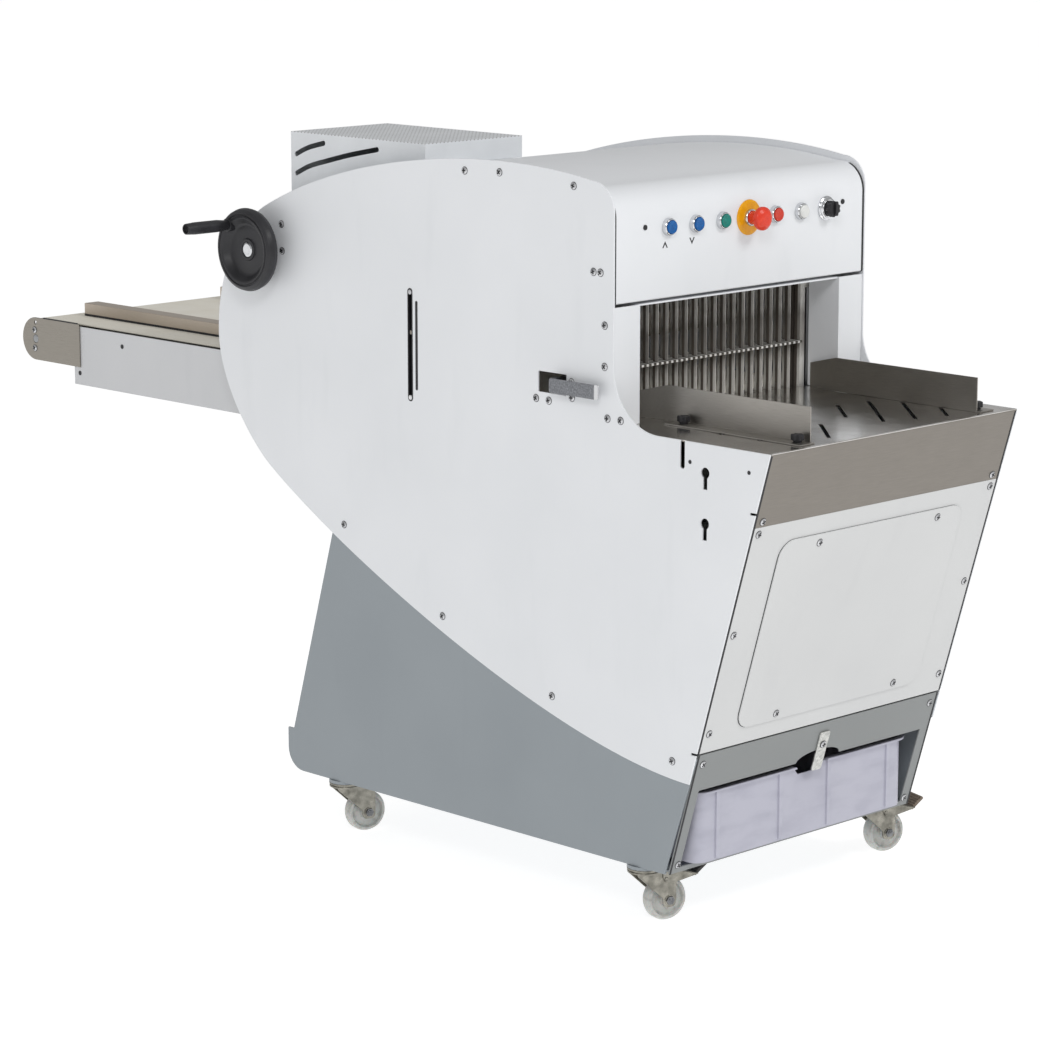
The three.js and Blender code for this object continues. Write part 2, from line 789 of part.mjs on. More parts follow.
// The top box is a folded cover with curved vents in its left side, cut to sit on the roof
function topBox() {
  const outer = block(boxLeftX, boxRightX, boxFrontY, boxRearY, shoulderZ - boxRise, boxTopZ);
  const inner = block(boxLeftX + boxSheet, boxRightX - boxSheet, boxFrontY + boxSheet, boxRearY - boxSheet,
    0, boxTopZ - boxSheet);
  const roof = offsetLine(crownCurve.getPoints(2 * curveSteps), -hoodInset + clearance);
  const under = [new THREE.Vector2(roof[0].x, 0), ...roof, new THREE.Vector2(roof.at(-1).x, 0)];
  const seat = alongX(new THREE.Shape(under), boxLeftX - overrun, boxRightX + overrun);
  const place = ([y, z]) => new THREE.Vector2(boxFrontY + y * (boxRearY - boxFrontY),
    shoulderZ + z * (boxTopZ - shoulderZ));
  const vents = [upperVentShares, lowerVentShares].map((shares) => {
    const middle = new THREE.SplineCurve(shares.map(place)).getPoints(curveSteps);
    const shape = new THREE.Shape([...offsetLine(middle, ventWidth / 2),
      ...offsetLine(middle, -ventWidth / 2).reverse()]);
    const ends = [middle[0], middle.at(-1)].map((end) => disc(end.x, end.y, ventWidth / 2));
    return join([shape, ...ends].map((piece) => alongX(piece, boxLeftX - overrun, boxLeftX + ventInset)));
  });
  return cut(outer, [inner, seat, ...vents]);
}

// Cheeks, side walls and lintel round the mouth are one folded piece
function mouthSurround() {
  const bottom = lipZ + clearance;
  const top = hoodSillZ - sillGap;
  const cheeks = [-1, 1].flatMap((side) => [
    block(side * mouthHalfWidth, side * insideX, hoodFaceY, hoodFaceY + mouthSheet, bottom, top),
    block(side * mouthHalfWidth, side * (mouthHalfWidth + mouthSheet), hoodFaceY, mouthRearY, bottom, top),
  ]);
  const lintel = block(-mouthHalfWidth - mouthSheet, mouthHalfWidth + mouthSheet,
    hoodFaceY + lintelSetback, mouthRearY, top - mouthSheet, top);
  return join([...cheeks, lintel]);
}

function bladeX(index) {
  return (index - (bladeCount - 1) / 2) * bladePitch;
}

function bladeSlots(za, zb) {
  return Array.from({ length: bladeCount }, (_, i) => block(bladeX(i) - combSlotWidth / 2, bladeX(i) + combSlotWidth / 2,
    bladesFrontY - combSlotMargin, bladesRearY + combSlotMargin, za, zb));
}

// The tray's plate narrows to a neck in the mouth, and ends in a comb that the blades run through
function outfeedTray() {
  const plate = outline([
    [-insideX, lipY], [insideX, lipY], [insideX, hoodFaceY - clearance],
    [trayNeckHalfWidth, hoodFaceY - clearance], [trayNeckHalfWidth, trayCombFrontY],
    [trayCombHalfWidth, trayCombFrontY], [trayCombHalfWidth, trayRearY], [-trayCombHalfWidth, trayRearY],
    [-trayCombHalfWidth, trayCombFrontY], [-trayNeckHalfWidth, trayCombFrontY],
    [-trayNeckHalfWidth, hoodFaceY - clearance], [-insideX, hoodFaceY - clearance],
  ]);
  const top = alongZ(plate, trayBottomZ, lipZ);
  const apronLine = [
    new THREE.Vector2(lipY, lipZ),
    new THREE.Vector2(frontPlaneY(apronBottomZ), apronBottomZ),
  ];
  const apron = alongX(strip(apronLine, steelSheet), frontGap - insideX, insideX - frontGap);
  const angle = THREE.MathUtils.degToRad(crumbSlotDegrees);
  const slots = [-1, 1].flatMap((side) => crumbSlotLengths.map((length, i) => {
    const [x, y] = crumbSlotPlaces[i];
    const middle = new THREE.Vector2(side * x, crumbSlotMiddleY + side * y);
    const reach = new THREE.Vector2(Math.cos(angle), Math.sin(angle)).multiplyScalar(length / 2);
    return alongZ(slotShape(middle.clone().sub(reach), middle.clone().add(reach), crumbSlotWidth),
      trayBottomZ - overrun, lipZ + overrun);
  }));
  const studHoles = knobPlaces().map(([x, y]) => bar("z", knobStudRadius + clearance,
    trayBottomZ - overrun, lipZ + overrun, x, y, 0, pinSides));
  return cut(top.add(apron), [...slots, ...studHoles, ...bladeSlots(trayBottomZ - overrun, lipZ + overrun)]);
}

function knobPlaces() {
  const leftX = leftGuideX - knobInset;
  const rightX = rightGuideX + knobInset;
  return [[leftX, frontKnobY], [leftX, rearKnobY], [rightX, frontKnobY], [rightX, rearKnobY]];
}

// A guide is a strip on a slotted foot; its rear end turns a little outwards and gets lower
function breadGuide(plateX, side) {
  const bottom = lipZ + clearance;
  const top = bottom + guideHeight;
  const line = [
    new THREE.Vector2(plateX, guideFrontY),
    new THREE.Vector2(plateX, guideTurnY),
    new THREE.Vector2(plateX + side * guideTurnOut, guideRearY),
  ];
  const wall = alongZ(strip(line, -side * guideSheet), bottom, top);
  const slope = alongX(outline([
    [guideTurnY, top], [guideRearY + overrun, top - guideTurnDrop * (guideRearY + overrun - guideTurnY)
      / (guideRearY - guideTurnY)], [guideRearY + overrun, top + overrun], [guideTurnY, top + overrun],
  ]), plateX - guideFootWidth, plateX + guideFootWidth);
  const footOuterX = plateX + side * guideFootWidth;
  const base = block(plateX, footOuterX, guideFootFrontY, guideFootRearY, bottom, bottom + guideSheet);
  const slots = [frontKnobY, rearKnobY].map((y) => {
    const x = plateX + side * knobInset;
    return alongZ(roundedRectangle(x - footSlotLength / 2, x + footSlotLength / 2,
      y - footSlotWidth / 2, y + footSlotWidth / 2, footSlotWidth / 2), bottom - overrun, bottom + guideSheet + overrun);
  });
  return cut(base, slots).add(wall.subtract(slope));
}

// Star knob on a stud, drawn about its own axis with its seat at zero
function starKnob() {
  const steps = 3 * knobLobes;
  const rim = Array.from({ length: steps }, (_, i) => {
    const angle = i * 2 * Math.PI / steps;
    const radius = knobRadius - knobLobe / 2 + knobLobe / 2 * Math.cos(knobLobes * angle);
    return new THREE.Vector2(radius * Math.cos(angle), radius * Math.sin(angle));
  });
  const head = alongZ(new THREE.Shape(rim), knobLift, knobHeight);
  const collar = bar("z", knobCollarRadius, 0, knobLift + overrun / 2, 0, 0, 0, pinSides);
  const stud = bar("z", knobStudRadius, -knobStudLength, overrun / 2, 0, 0, 0, pinSides);
  return join([head, collar, stud]);
}

// Pieces on the leaning front plane
function leaningPlate(halfWidth, bottomZ, topZ) {
  const line = [
    new THREE.Vector2(frontPlaneY(topZ), topZ),
    new THREE.Vector2(frontPlaneY(bottomZ), bottomZ),
  ];
  return alongX(strip(line, coverSheet), -halfWidth, halfWidth);
}

function frontPanel() {
  const plate = leaningPlate(insideX - frontGap, frontPanelBottomZ, apronBottomZ - clearance);
  const window = roundedRectangle(-accessHalfWidth + frontWindowMargin, accessHalfWidth - frontWindowMargin,
    accessBottomZ + frontWindowMargin, accessTopZ - frontWindowMargin, accessRadius / 2);
  return cut(plate, [alongY(window, lipY - overrun, foot.x + reliefLength)]);
}

// The access cover is drawn flat and leaned back by its mesh
function accessCover() {
  const length = (accessTopZ - accessBottomZ) / Math.cos(leanAngle);
  const shape = roundedRectangle(-accessHalfWidth, accessHalfWidth, 0, length, accessRadius);
  return alongZ(shape, clearance, clearance + accessSheet);
}

function lowerFrame() {
  const plate = leaningPlate(insideBaseX, baseBottomZ, lowerFrameTopZ);
  const opening = rectangle(-frameOpeningHalfWidth, frameOpeningHalfWidth, frameOpeningBottomZ, frameOpeningTopZ);
  const arch = new THREE.Shape();
  arch.absellipse(archX, frameOpeningTopZ - clearance, archHalfWidth, archHeight, 0, Math.PI, false, 0);
  const reachY = frontPlaneY(baseBottomZ) + overrun;
  return cut(plate, [alongY(opening, lipY, reachY), alongY(arch, lipY, reachY)]);
}

// Pivot pin of the latch and the latch itself, both drawn flat about the pivot
function latchPin() {
  return bar("z", latchPinRadius, -coverSheet / 2, clearance + latchSheet, 0, 0, 0, pinSides);
}

function latchStrap() {
  const shape = roundedRectangle(-latchWidth / 2, latchWidth / 2, -latchBelow, latchAbove, latchWidth / 5);
  const plate = alongZ(shape, clearance, clearance + latchSheet);
  return plate.subtract(bar("z", latchPinRadius + clearance, 0, latchSheet + overrun, 0, 0, 0, pinSides));
}

// Crate with rounded corners, a rim, ribs on its front and a finger notch in front of the latch
function crumbCrate() {
  const ring = (grow) => roundedRectangle(-crateHalfWidth - grow, crateHalfWidth + grow,
    crateFrontY - grow, crateRearY + grow, crateCorner + grow);
  const tub = alongZ(ring(0), crateBottomZ, crateTopZ);
  const rim = alongZ(ring(crateRim), crateTopZ - crateRimHeight, crateTopZ);
  const ribXs = [-crateRibOuterX, -crateRibInnerX, crateRibInnerX, crateRibOuterX];
  const frontRibs = ribXs.map((x) => block(x - crateRibWidth / 2, x + crateRibWidth / 2,
    crateFrontY - crateRibDepth, crateFrontY + crateWall / 2, crateBottomZ + crateRimHeight, crateTopZ - crateRimHeight / 2));
  const hollow = alongZ(ring(-crateWall), crateBottomZ + crateWall, crateTopZ + overrun);
  const notchBottomZ = latchPivotZ - latchBelow - crateNotchRoom;
  const notch = alongY(outline([
    [archX - crateNotchHalfWidth, crateTopZ + overrun], [archX - crateNotchHalfWidth * crateNotchTaper, notchBottomZ],
    [archX + crateNotchHalfWidth * crateNotchTaper, notchBottomZ], [archX + crateNotchHalfWidth, crateTopZ + overrun],
  ]), crateFrontY - crateRim - overrun, crateFrontY + crateWall + clearance);
  return cut(join([tub, rim, ...frontRibs]), [hollow, notch]);
}

// A blade's outline in (Y, Z): a plain back towards the tray and scallops towards the loaf
function bladeShape(frontY, bottomZ, topZ) {
  const edgeY = frontY + bladeDepth;
  const teeth = Array.from({ length: bladeToothCount }, (_, i) => bladeToothStartZ + i * bladeToothPitch);
  const scallops = teeth.flatMap((z) => [
    [edgeY, z],
    [edgeY - bladeToothDepth, z + bladeToothPitch / 2],
  ]);
  const teethEndZ = bladeToothStartZ + bladeToothCount * bladeToothPitch;
  return outline([[frontY, bottomZ], [edgeY, bottomZ], ...scallops, [edgeY, teethEndZ], [edgeY, topZ], [frontY, topZ]]);
}

// One blade frame: bars, posts, every second blade, four shoes on the slide rods and the wrist pin's ears
function bladeFrame(frontY, first, shoeUpperZ, shoeLowerZ, rodX) {
  const rearY = frontY + bladeDepth;
  const outerX = bladePostInnerX + bladePostWidth;
  const bars = [
    block(-outerX, outerX, frontY, rearY, bladeFrameTopZ - bladeBarHeight, bladeFrameTopZ),
    block(-outerX, outerX, frontY, rearY, bladeFrameBottomZ, bladeFrameBottomZ + bladeBarHeight),
  ];
  const posts = [-1, 1].map((side) => block(side * bladePostInnerX, side * outerX, frontY, rearY,
    bladeFrameBottomZ, bladeFrameTopZ));
  const shape = bladeShape(frontY, bladeFrameBottomZ + bladeBarHeight / 2, bladeFrameTopZ - bladeBarHeight / 2);
  const blades = [];
  for (let i = first; i < bladeCount; i += 2) {
    blades.push(alongX(shape, bladeX(i) - bladeThickness / 2, bladeX(i) + bladeThickness / 2));
  }
  const shoes = [shoeUpperZ, shoeLowerZ].flatMap((z) => [-1, 1].map((side) => slideShoe(side, frontY, z)));
  return join([...bars, ...posts, ...blades, ...shoes, wristEars(frontY, rodX)]);
}

function slideShoe(side, frontY, z) {
  const postX = bladePostInnerX + bladePostWidth;
  const nearX = postX + 2 * clearance;
  const farX = slideRodX + slideRodRadius + shoeWall;
  const body = block(side * nearX, side * farX, bladesFrontY, bladesRearY, z, z + shoeHeight);
  const neck = block(side * (postX - clearance), side * (nearX + clearance), frontY, frontY + bladeDepth, z, z + shoeHeight);
  const bore = bar("z", slideRodRadius + clearance, z - overrun, z + shoeHeight + overrun,
    side * slideRodX, bladesMiddleY, 0, pinSides);
  return body.subtract(bore).add(neck);
}

function wristEars(frontY, rodX) {
  const middleY = frontY + bladeDepth / 2;
  const pinZ = bladeFrameBottomZ - wristPinDrop;
  const innerX = conRodThickness / 2 + clearance;
  const ears = [-1, 1].map((side) => block(rodX + side * innerX, rodX + side * (innerX + earThickness),
    middleY - earWidth / 2, middleY + earWidth / 2, pinZ - earWidth / 3, bladeFrameBottomZ + bladeBarHeight / 2));
  const clipped = ears.map((ear) => ear.intersect(block(rodX - windowWidth, rodX + windowWidth,
    frontY, frontY + bladeDepth, pinZ - earWidth, bladeFrameTopZ)));
  const pinReach = innerX + earThickness / 2;
  const pin = bar("x", wristPinRadius, -pinReach, pinReach, rodX, middleY, pinZ, pinSides);
  return join([...clipped, pin]);
}

// A connecting rod with an eye at its wrist pin; its big end stops short of the eccentric
function conRod(frontY, rodX) {
  const middleY = frontY + bladeDepth / 2;
  const pinZ = bladeFrameBottomZ - wristPinDrop;
  const halfWidth = conRodWidth / 2;
  const eyeRadius = wristPinRadius + halfWidth / 3;
  const shape = new THREE.Shape([
    new THREE.Vector2(middleY - halfWidth, pinZ - conRodLength),
    new THREE.Vector2(middleY + halfWidth, pinZ - conRodLength),
    ...arcPoints(middleY, pinZ, eyeRadius, 0, Math.PI),
  ]);
  const link = alongX(shape, rodX - conRodThickness / 2, rodX + conRodThickness / 2);
  return link.subtract(bar("x", wristPinRadius + clearance, -conRodThickness, conRodThickness,
    rodX, middleY, pinZ, pinSides));
}

// Beams across the machine, the two slide rods between them, and the hangers of the eccentric shaft
function cutterFrame() {
  const upper = block(-insideX, insideX, bladesMiddleY - beamDepth / 2, bladesMiddleY + beamDepth / 2,
    upperBeamZ, upperBeamZ + upperBeamHeight);
  const lower = block(-insideX, insideX, lowerBeamFrontY, lowerBeamRearY, lowerBeamZ, lowerBeamZ + lowerBeamHeight);
  const windows = [-1, 1].map((side) => block(side * conRodX - windowWidth / 2, side * conRodX + windowWidth / 2,
    windowFrontY, windowRearY, lowerBeamZ - overrun, lowerBeamZ + lowerBeamHeight + overrun));
  const rods = [-1, 1].map((side) => bar("z", slideRodRadius, lowerBeamZ + lowerBeamHeight / 2,
    upperBeamZ + upperBeamHeight / 2, side * slideRodX, bladesMiddleY, 0, pinSides));
  const hangers = [-1, 1].map((side) => shaftHanger(side));
  return join([upper, cut(lower, windows), ...rods, ...hangers]);
}

function shaftHanger(side) {
  const halfWidth = hangerWidth / 2;
  const topZ = lowerBeamZ + lowerBeamHeight / 2;
  const shape = new THREE.Shape([
    new THREE.Vector2(bladesMiddleY + halfWidth, topZ),
    new THREE.Vector2(bladesMiddleY - halfWidth, topZ),
    ...arcPoints(bladesMiddleY, shaftZ, 2 * shaftRadius, Math.PI, 2 * Math.PI),
  ]);
  const web = alongX(shape, side * (hangerX - hangerThickness / 2), side * (hangerX + hangerThickness / 2));
  return web.subtract(bar("x", shaftRadius + clearance, -hangerThickness, hangerThickness,
    side * hangerX, bladesMiddleY, shaftZ));
}

function eccentricShaft() {
  const shaft = bar("x", shaftRadius, shaftLeftX, shaftRightX, 0, bladesMiddleY, shaftZ);
  const discs = [-1, 1].map((side) => bar("x", eccentricRadius, -eccentricWidth / 2, eccentricWidth / 2,
    side * conRodX, bladesMiddleY, shaftZ + side * eccentricThrow, fineSides));
  return join([shaft, ...discs]);
}

function mainMotor() {
  const length = motorRightX - motorLeftX;
  const finPitch = length / (2 * motorFins + 1);
  const body = bar("x", motorRadius, motorLeftX, motorRightX, 0, bladesMiddleY, shaftZ);
  const grooves = Array.from({ length: motorFins }, (_, i) => {
    const from = motorLeftX + (2 * i + 1) * finPitch;
    const ring = [[motorRadius - motorFinDepth, from], [motorRadius + overrun, from],
      [motorRadius + overrun, from + finPitch], [motorRadius - motorFinDepth, from + finPitch],
      [motorRadius - motorFinDepth, from]];
    return turnedAt("x", ring, 0, bladesMiddleY, shaftZ, roundSides);
  });
  const middleX = (motorLeftX + motorRightX) / 2;
  const foot = block(middleX - motorFootWidth / 2, middleX + motorFootWidth / 2, bladesMiddleY - motorFootDepth / 2,
    bladesMiddleY + motorFootDepth / 2, shaftZ, lowerBeamZ - clearance);
  const stub = bar("x", shaftRadius, shaftRightX + clearance, motorLeftX + overrun, 0, bladesMiddleY, shaftZ);
  return join([cut(body, grooves), foot, stub]);
}

// Feed conveyor: side plates, deck inside the belt's loop and cross bars to the side panels
function conveyorFrame() {
  const sides = [-1, 1].map((side) => block(side * (conveyorHalfWidth - steelSheet), side * conveyorHalfWidth,
    conveyorFrontY, conveyorRearY, conveyorBottomZ, conveyorTopZ));
  const deckTop = conveyorTopZ - deckDrop;
  const deck = block(-conveyorHalfWidth + steelSheet / 2, conveyorHalfWidth - steelSheet / 2,
    driveRollerY + deckMargin, conveyorRearY - deckMargin / 2, deckTop - steelSheet, deckTop);
  const bars = [frontCrossBarY, rearCrossBarY].map((y) => block(-insideX, insideX, y, y + crossBarHeight,
    conveyorBottomZ + crossBarLift, conveyorBottomZ + crossBarLift + crossBarHeight));
  const shaftHole = bar("x", rollerShaftRadius + clearance, -conveyorHalfWidth - overrun, conveyorHalfWidth + overrun,
    0, driveRollerY, rollerZ);
  return cut(join([...sides, deck, ...bars]), [shaftHole]);
}

function loopShape(radius) {
  const quarter = Math.PI / 2;
  return new THREE.Shape([
    ...arcPoints(driveRollerY, rollerZ, radius, quarter, 3 * quarter),
    ...arcPoints(tailRollerY, rollerZ, radius, -quarter, quarter),
  ]);
}

function feedBelt() {
  const outer = alongX(loopShape(beltRadius), -beltHalfWidth, beltHalfWidth);
  const facetHalfAngle = Math.PI / (2 * curveSteps);
  const innerRadius = (rollerRadius + clearance) / Math.cos(facetHalfAngle);
  const inner = alongX(loopShape(innerRadius), -beltHalfWidth - overrun, beltHalfWidth + overrun);
  return outer.subtract(inner);
}

// Rollers are drawn about the origin, along X
function roller(shaftReach) {
  const drum = bar("x", rollerRadius, -rollerHalfWidth, rollerHalfWidth, 0, 0, 0);
  return drum.add(bar("x", rollerShaftRadius, -shaftReach, shaftReach, 0, 0, 0));
}

function endPlate(side) {
  const nearX = conveyorHalfWidth + clearance;
  const middleX = side * (nearX + steelSheet / 2);
  const quarter = Math.PI / 2;
  const shape = new THREE.Shape([
    new THREE.Vector2(endPlateFrontY, rollerZ + endPlateRadius),
    new THREE.Vector2(endPlateFrontY, rollerZ - endPlateRadius),
    ...arcPoints(tailRollerY, rollerZ, endPlateRadius, -quarter, quarter),
  ]);
  const plate = alongX(shape, side * nearX, side * (nearX + steelSheet));
  const shaftHole = bar("x", rollerShaftRadius + clearance, -overrun, overrun, middleX, tailRollerY, rollerZ);
  const hole = bar("x", endHoleRadius, -overrun, overrun, middleX, tailRollerY, rollerZ + endHoleRise, pinSides);
  return cut(plate, [shaftHole, hole]);
}

// A rail is a folded channel over the belt, held by an arm inside the machine
function breadRail(innerX, side) {
  const bottom = beltTopZ + clearance;
  const outerX = innerX + side * railWidth;
  const body = block(innerX, outerX, railFrontY, railRearY, bottom, bottom + railHeight);
  const hollow = block(innerX + side * railSheet, outerX - side * railSheet, railFrontY - overrun,
    railRearY - railSheet, bottom - overrun, bottom + railHeight - railSheet);
  const arm = block(outerX - side * railSheet / 2, side * insideX, railFrontY, railFrontY + railArmWidth,
    bottom + railHeight - railArmThickness, bottom + railHeight);
  return body.subtract(hollow).add(arm);
}

// Hold-down: a shallow box with rounded ends, open above, with the screw's nut and the gauge pin
function pressUnit() {
  const radius = pressHeight / 2;
  const middleZ = pressBottomZ + radius;
  const quarter = Math.PI / 2;
  const shape = (inset) => new THREE.Shape([
    ...arcPoints(pressFrontY + radius, middleZ, radius - inset, quarter, 3 * quarter),
    ...arcPoints(pressRearY - radius, middleZ, radius - inset, -quarter, quarter),
  ]);
  const outer = alongX(shape(0), -pressHalfWidth, pressHalfWidth);
  const inner = alongX(shape(pressSheet), -pressHalfWidth + pressSheet, pressHalfWidth - pressSheet);
  const topZ = pressBottomZ + pressHeight;
  const nut = bar("z", nutRadius, topZ - pressSheet / 2, topZ + nutHeight, 0, screwY, 0);
  const bore = bar("z", screwRadius + clearance, middleZ, topZ + nutHeight + overrun, 0, screwY, 0);
  const hatch = block(-pressHalfWidth / 2, -nutRadius * 2, pressFrontY + radius, screwY - nutRadius, middleZ, topZ + overrun);
  const pin = bar("x", gaugePinRadius, -panelInnerX - panelSheet / 2, -pressHalfWidth + pressSheet / 2,
    0, gaugeSlotY, middleZ - pressHeight / 2 + gaugePinRadius * 3);
  return join([cut(outer.subtract(inner).add(nut), [bore, hatch]), pin]);
}

// Comb that steadies the blades just above the loaf, with arms back to the hold-down
function bladeComb() {
  const plate = block(-trayCombHalfWidth, trayCombHalfWidth, combFrontY, trayRearY, combZ, combZ + combThickness);
  const nearX = pressHalfWidth + clearance;
  const arms = [-1, 1].map((side) => {
    const shape = outline([
      [trayRearY - combThickness, combZ + combThickness / 2], [trayRearY, combZ + combThickness / 2],
      [trayRearY + combThickness, combZ + combArmLift], [combArmRearY, combZ + combArmLift],
      [combArmRearY, combArmTopZ], [trayRearY - combThickness, combArmTopZ - combArmLift],
    ]);
    return alongX(shape, side * nearX, side * (nearX + coverSheet));
  });
  return join([cut(plate, bladeSlots(combZ - overrun, combZ + combThickness + overrun)), ...arms]);
}

function liftScrew() {
  const rod = bar("z", screwRadius, screwBottomZ, screwTopZ - screwFlangeHeight / 2, 0, 0, 0);
  const flange = bar("z", screwFlangeRadius - clearance, screwTopZ - screwFlangeHeight, screwTopZ, 0, 0, 0);
  return rod.add(flange);
}

// Handwheel, drawn about the origin with its axis along X and its face towards -X
function handwheel() {
  const rimBack = -handwheelStandOff;
  const rimFront = rimBack - handwheelRim;
  const webFront = rimFront + handwheelDish;
  const webBack = rimBack - handwheelRim / 4;
  const edge = handwheelRim / 2;
  const profile = [
    [0, handwheelShaftTail], [handwheelShaftRadius, handwheelShaftTail],
    [handwheelShaftRadius, -clearance - panelSheet], [handwheelHubRadius, -clearance - panelSheet],
    [handwheelHubRadius, webBack], [handwheelRadius - 2 * edge, webBack], [handwheelRadius - edge, rimBack],
    [handwheelRadius - edge / 4, rimBack - edge / 4], [handwheelRadius, rimBack - edge],
    [handwheelRadius - edge / 4, rimFront + edge / 4], [handwheelRadius - edge, rimFront],
    [handwheelRadius - 2 * edge, webFront - edge / 4], [handwheelHubRadius + edge, webFront],
    [handwheelCapRadius, webFront], [handwheelCapRadius, webFront - handwheelCapHeight],
    [0, webFront - handwheelCapHeight],
  ];
  const wheel = turnedAt("x", profile, 0, 0, 0, fineSides);
  const pinEnd = rimFront - gripLength;
  return wheel.add(bar("x", gripPinRadius, pinEnd, webFront + edge / 2, 0, gripPlace().x, gripPlace().y));
}

function gripPlace() {
  const angle = THREE.MathUtils.degToRad(gripDegrees);
  return new THREE.Vector2(gripOrbit * Math.cos(angle), gripOrbit * Math.sin(angle));
}

// The grip's own axis is X; zero is where it meets the handwheel's rim
function crankGrip() {
  const bore = gripPinRadius + clearance;
  const waist = gripRadius * 0.82;
  const profile = [
    [bore, 0], [waist, 0], [gripRadius, -gripLength * 0.2], [gripRadius, -gripLength * 0.75],
    [waist, -gripLength * 0.95], [gripRadius * 0.7, -gripLength], [bore, -gripLength], [bore, 0],
  ];
  return turnedAt("x", profile, 0, 0, 0, roundSides);
}

function sideLever() {
  const top = leverZ + leverHeight;
  const barOuterX = -(panelOuterX + leverStandOff);
  const halfArm = leverArmWidth / 2;
  const eye = bar("z", leverEyeRadius, leverZ, top, leverPivotX, leverPivotY, 0);
  const arm = block(leverPivotX, barOuterX, leverPivotY - halfArm, leverPivotY + halfArm, leverZ, top);
  const plate = roundedRectangle(leverTipY, leverPivotY + halfArm, leverZ, top, leverSheet);
  const blade = alongX(plate, barOuterX - leverSheet, barOuterX);
  const bore = bar("z", leverPinRadius + clearance, leverZ - overrun, top + overrun, leverPivotX, leverPivotY, 0);
  return cut(join([eye, arm, blade]), [bore]);
}

// Push button, stop mushroom and selector, drawn about the origin with the hood's face at Y = 0
function pushButton() {
  return bar("y", plungerRadius, -bezelHeight - plungerProud, coverSheet + plungerTail, 0, 0, 0);
}

function stopMushroom() {
  const headBack = -bezelHeight - mushroomProud + mushroomHeight;
  const headFront = -bezelHeight - mushroomProud;
  const profile = [
    [0, coverSheet + plungerTail], [plungerRadius, coverSheet + plungerTail], [plungerRadius, headBack],
    [mushroomRadius - mushroomCrown / 2, headBack], [mushroomRadius, headBack - mushroomCrown / 2],
    [mushroomRadius, headFront + mushroomCrown], [mushroomRadius - mushroomCrown / 2, headFront + mushroomCrown / 3],
    [mushroomRadius - mushroomCrown, headFront], [0, headFront],
  ];
  return turnedAt("y", profile, 0, 0, 0, roundSides);
}

function selectorKnob() {
  const body = bar("y", plungerRadius, -bezelHeight - selectorProud + selectorWingHeight / 2,
    coverSheet + plungerTail, 0, 0, 0);
  const wing = roundedRectangle(-selectorWingWidth / 2, selectorWingWidth / 2, -selectorWingLength / 2,
    selectorWingLength / 2, selectorWingWidth / 3);
  const wingFront = -bezelHeight - selectorProud;
  return body.add(alongY(wing, wingFront, wingFront + selectorWingHeight));
}

// Caster fork, drawn about the swivel axis with the wheel trailing towards +X
function forkCheek() {
  const headBottom = casterHeadTopZ - casterHeadHeight;
  const rear = casterTrail + forkBossRadius;
  return new THREE.Shape([
    new THREE.Vector2(-casterRadius * 0.8, headBottom + forkSheet),
    new THREE.Vector2(-casterRadius * 0.75, headBottom - forkSheet),
    ...arcPoints(casterTrail, wheelRadius, forkBossRadius, Math.PI, 2 * Math.PI, 2 * cornerSteps),
    new THREE.Vector2(rear, headBottom - 2 * forkSheet),
    new THREE.Vector2(casterRadius * 0.8, headBottom + forkSheet),
  ]);
}

function casterFork() {
  const headBottom = casterHeadTopZ - casterHeadHeight;
  const outerHalfWidth = forkInnerHalfWidth + forkSheet;
  const head = bar("z", casterRadius, headBottom, casterHeadTopZ, 0, 0, 0);
  const cheeks = [-1, 1].map((side) => alongY(forkCheek(), side * forkInnerHalfWidth, side * outerHalfWidth));
  const axle = bar("y", axleRadius, -outerHalfWidth, outerHalfWidth, casterTrail, 0, wheelRadius, pinSides);
  const nuts = [-1, 1].map((side) => bar("y", axleNutRadius, Math.min(0, side * axleNutHeight),
    Math.max(0, side * axleNutHeight), casterTrail, side * outerHalfWidth, wheelRadius, nutSides));
  const pins = [-1, 1].map((side) => bar("y", pedalPinRadius, -forkSheet, forkSheet, pedalPivotX,
    side * outerHalfWidth, pedalPivotZ, pinSides));
  return { fork: join([head, ...cheeks, axle, ...nuts]), pins };
}

function casterWheel() {
  const half = wheelWidth / 2;
  const hubHalf = wheelHubWidth / 2;
  const bore = axleRadius + clearance;
  const web = wheelRadius - 2.5 * wheelShoulder;
  const profile = [
    [bore, -hubHalf], [wheelHubRadius, -hubHalf], [wheelHubRadius, -half * 0.5], [web, -half * 0.5],
    [web + wheelShoulder, -half], [wheelRadius - wheelShoulder, -half], [wheelRadius, -half + wheelShoulder],
    [wheelRadius, half - wheelShoulder], [wheelRadius - wheelShoulder, half], [web + wheelShoulder, half],
    [web, half * 0.5], [wheelHubRadius, half * 0.5], [wheelHubRadius, hubHalf], [bore, hubHalf], [bore, -hubHalf],
  ];
  return turnedAt("y", profile, 0, 0, 0, fineSides);
}

